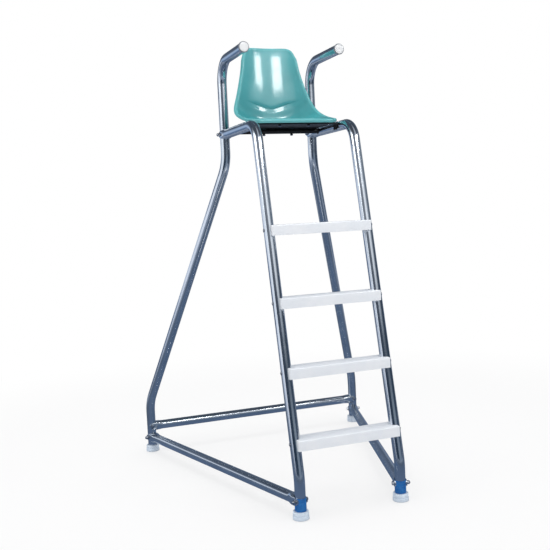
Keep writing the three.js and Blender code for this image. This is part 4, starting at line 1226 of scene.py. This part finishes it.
def object_height(tree):
    made = tree.nodes.new("ShaderNodeSeparateXYZ")
    tree.links.new(tree.nodes.new("ShaderNodeTexCoord").outputs["Object"], made.inputs[0])
    return made.outputs["Z"]


def object_reach(tree):
    made = tree.nodes.new("ShaderNodeVectorMath")
    made.operation = "LENGTH"
    tree.links.new(tree.nodes.new("ShaderNodeTexCoord").outputs["Object"], made.inputs[0])
    return made.outputs["Value"]


def glowing_strip(name, start, end, count, edges, value, stops):
    """Quads between two edges, each a reach and a height, round part of a circle, seen by reflections alone."""
    angles = [start + (end - start) * i / count for i in range(count + 1)]
    points = [around(a, reach, height) for a in angles for reach, height in edges]
    obj = flat_mesh(name, points, [(2 * i, 2 * i + 2, 2 * i + 3, 2 * i + 1) for i in range(count)])
    obj.data.materials.append(glow_material(name, value, stops))
    obj.visible_camera = obj.visible_diffuse = obj.visible_shadow = obj.visible_transmission = False


def panel(name, start, end, stops):
    """An upright panel whose glow follows the height."""
    count = max(1, round((end - start) / PANEL_STEP))
    edges = (PANEL_REACH, 0.0), (PANEL_REACH, PANEL_TOP)
    glowing_strip(name, start, end, count, edges, object_height, stops)


def disc(name, height, start, end, stops):
    """A level disc or a sector of one, whose glow follows the distance from the middle."""
    edges = (0.0, height), (PANEL_REACH, height)
    glowing_strip(name, start, end, DISC_STEPS, edges, object_reach, stops)


def soft_box(name, start, end, low, top, reach, radiance):
    """An area light that fills the angles from start to end and the heights from low to top."""
    width = 2 * reach * math.tan(math.radians(end - start) / 2)
    tall = top - low
    light = bpy.data.lights.new(name, "AREA")
    light.shape, light.size, light.size_y = "RECTANGLE", width, tall
    light.energy = radiance * math.pi * width * tall
    obj = bpy.data.objects.new(name, light)
    scene.collection.objects.link(obj)
    obj.location = around((start + end) / 2, reach, (low + top) / 2)
    aim = Vector((0, 0, obj.location.z)) - obj.location
    obj.rotation_euler = aim.to_track_quat("-Z", "Y").to_euler()


FLOOR_HALF, FLOOR_LIT, FLOOR_WHITE, FLOOR_NEAR_GLOW = 40.0, 1.7, 3.6, 0.72


def floor_look():
    """Pale paint mixed with plain white, for rays that see it directly, and all white further out."""
    look = Looks("floor_white")
    look.set(Base_Color=(0.80, 0.80, 0.805), Roughness=0.9, Specular_IOR_Level=0.1)
    far = look.band(object_reach(look.tree), FLOOR_LIT, FLOOR_WHITE, FLOOR_NEAR_GLOW, 1.0)
    share = look.maths("MULTIPLY", far, seen_directly(look.tree))
    glow, fade = look.node("ShaderNodeEmission"), look.node("ShaderNodeMixShader")
    for index, out in enumerate((share, look.shader.outputs[0], glow.outputs[0])):
        look.link(out, fade.inputs[index])
    look.link(fade.outputs[0], look.tree.nodes["Material Output"].inputs["Surface"])
    return look.material


corners = [(s * FLOOR_HALF, t * FLOOR_HALF, 0) for s, t in ((-1, -1), (1, -1), (1, 1), (-1, 1))]
flat_mesh("floor", corners, [(0, 1, 2, 3)]).data.materials.append(floor_look())

# Start and end angle, and the glow at each height
PANELS = (
    (-130, -95, (
        (0.2, (0.08, 0.11, 0.17)), (1.0, (0.20, 0.26, 0.36)), (1.5, (0.85, 0.90, 1.0)),
        (2.0, (0.80, 0.86, 0.95)), (2.6, (0.16, 0.19, 0.25)), (5.0, (0.05, 0.07, 0.10)))),
    (-95, -42, (
        (0.2, (0.70, 0.76, 0.90)), (1.0, (0.95, 1.0, 1.1)), (3.8, (1.15, 1.2, 1.25)),
        (5.4, (0.45, 0.50, 0.55)), (7.0, (0.12, 0.14, 0.17)))),
    (-42, 10, (
        (0.4, (0.02, 0.04, 0.07)), (2.0, (0.05, 0.07, 0.10)), (4.2, (0.30, 0.32, 0.36)),
        (5.6, (0.14, 0.16, 0.20)))),
    (10, 50, (
        (0.3, (0.20, 0.26, 0.34)), (1.2, (0.26, 0.31, 0.37)), (1.9, (0.07, 0.09, 0.12)),
        (2.4, (0.30, 0.34, 0.40)), (2.9, (0.85, 0.88, 0.92)), (4.6, (1.15, 1.18, 1.22)),
        (7.0, (0.50, 0.55, 0.62)))),
    (50, 66, (
        (0.4, (0.10, 0.14, 0.22)), (1.9, (0.05, 0.07, 0.10)), (3.6, (0.60, 0.64, 0.70)),
        (5.4, (0.18, 0.20, 0.25)))),
    (66, 118, (
        (0.4, (0.04, 0.06, 0.09)), (1.9, (0.04, 0.06, 0.09)), (3.6, (0.26, 0.30, 0.35)),
        (5.4, (0.12, 0.14, 0.18)))),
    (118, 165, (
        (0.2, (0.12, 0.18, 0.30)), (1.4, (0.24, 0.29, 0.38)), (2.6, (0.30, 0.34, 0.40)),
        (4.0, (0.10, 0.13, 0.17)))),
    (165, 203, (
        (0.2, (0.08, 0.12, 0.20)), (1.4, (0.13, 0.17, 0.25)), (3.4, (0.10, 0.13, 0.18)),
        (5.0, (0.08, 0.10, 0.13)))),
    (203, 230, (
        (0.2, (0.12, 0.18, 0.30)), (0.8, (0.14, 0.22, 0.36)), (1.4, (0.40, 0.52, 0.72)),
        (2.2, (0.40, 0.52, 0.72)), (3.2, (0.10, 0.13, 0.18)), (6.0, (0.07, 0.09, 0.13)))))
for index, (start, end, stops) in enumerate(PANELS):
    panel(f"panel_{index + 1}", start, end, stops)
disc("floor_disc", FLOOR_DISC_Z, 0, 360, (
    (0.3, (0.10, 0.15, 0.24)), (0.9, (0.12, 0.17, 0.27)), (1.8, (0.10, 0.135, 0.19)),
    (3.4, (0.28, 0.33, 0.42)), (6.0, (0.32, 0.37, 0.46))))
for name, start, end, edge_glow, rim_glow in (
        ("front_ceiling_left", -75, 10, (0.08, 0.095, 0.115), (0.07, 0.08, 0.10)),
        ("front_ceiling_middle", 10, 50, (0.40, 0.43, 0.46), (0.48, 0.52, 0.58)),
        ("front_ceiling_right", 50, 105, (0.08, 0.095, 0.115), (0.07, 0.08, 0.10))):
    disc(name, PANEL_TOP, start, end, (
        (0.5, (0.18, 0.21, 0.25)), (1.9, (0.55, 0.60, 0.65)), (2.9, (0.50, 0.55, 0.60)),
        (4.4, edge_glow), (6.0, rim_glow)))
disc("rear_ceiling", PANEL_TOP, 105, 285, (
    (0.5, (0.16, 0.19, 0.23)), (2.5, (0.10, 0.12, 0.15)), (6.0, (0.07, 0.09, 0.12))))

soft_box("soft_box_left", -75, -45, 2.9, 4.9, 5.0, 2.4)
soft_box("soft_box_right", 23.5, 37.5, 2.74, 3.16, 2.5, 12.5)
soft_box("soft_box_far_right", 52, 63, 2.74, 3.16, 2.5, 12.5)
TOP_LAMP_SIZE, TOP_LAMP_WATTS, TOP_LAMP_Z = 3.0, 85, 5.2
top_light = bpy.data.lights.new("soft_box_top", "AREA")
top_light.shape, top_light.size, top_light.energy = "SQUARE", TOP_LAMP_SIZE, TOP_LAMP_WATTS
top_box = bpy.data.objects.new("soft_box_top", top_light)
scene.collection.objects.link(top_box)
top_box.location = (0, 0, TOP_LAMP_Z)
top_box.visible_glossy = False

world = bpy.data.worlds.new("studio")
scene.world = world
world.use_nodes = True
tree = world.node_tree
background = tree.nodes["Background"]
strength = tree.nodes.new("ShaderNodeMapRange")
AMBIENT = 0.82
strength.inputs["To Min"].default_value = AMBIENT
strength.inputs["To Max"].default_value = 1.0
tree.links.new(seen_directly(tree), strength.inputs["Value"])
tree.links.new(strength.outputs["Result"], background.inputs["Strength"])
background.inputs["Color"].default_value = (1, 1, 1, 1)

scene.view_settings.view_transform = "Standard"
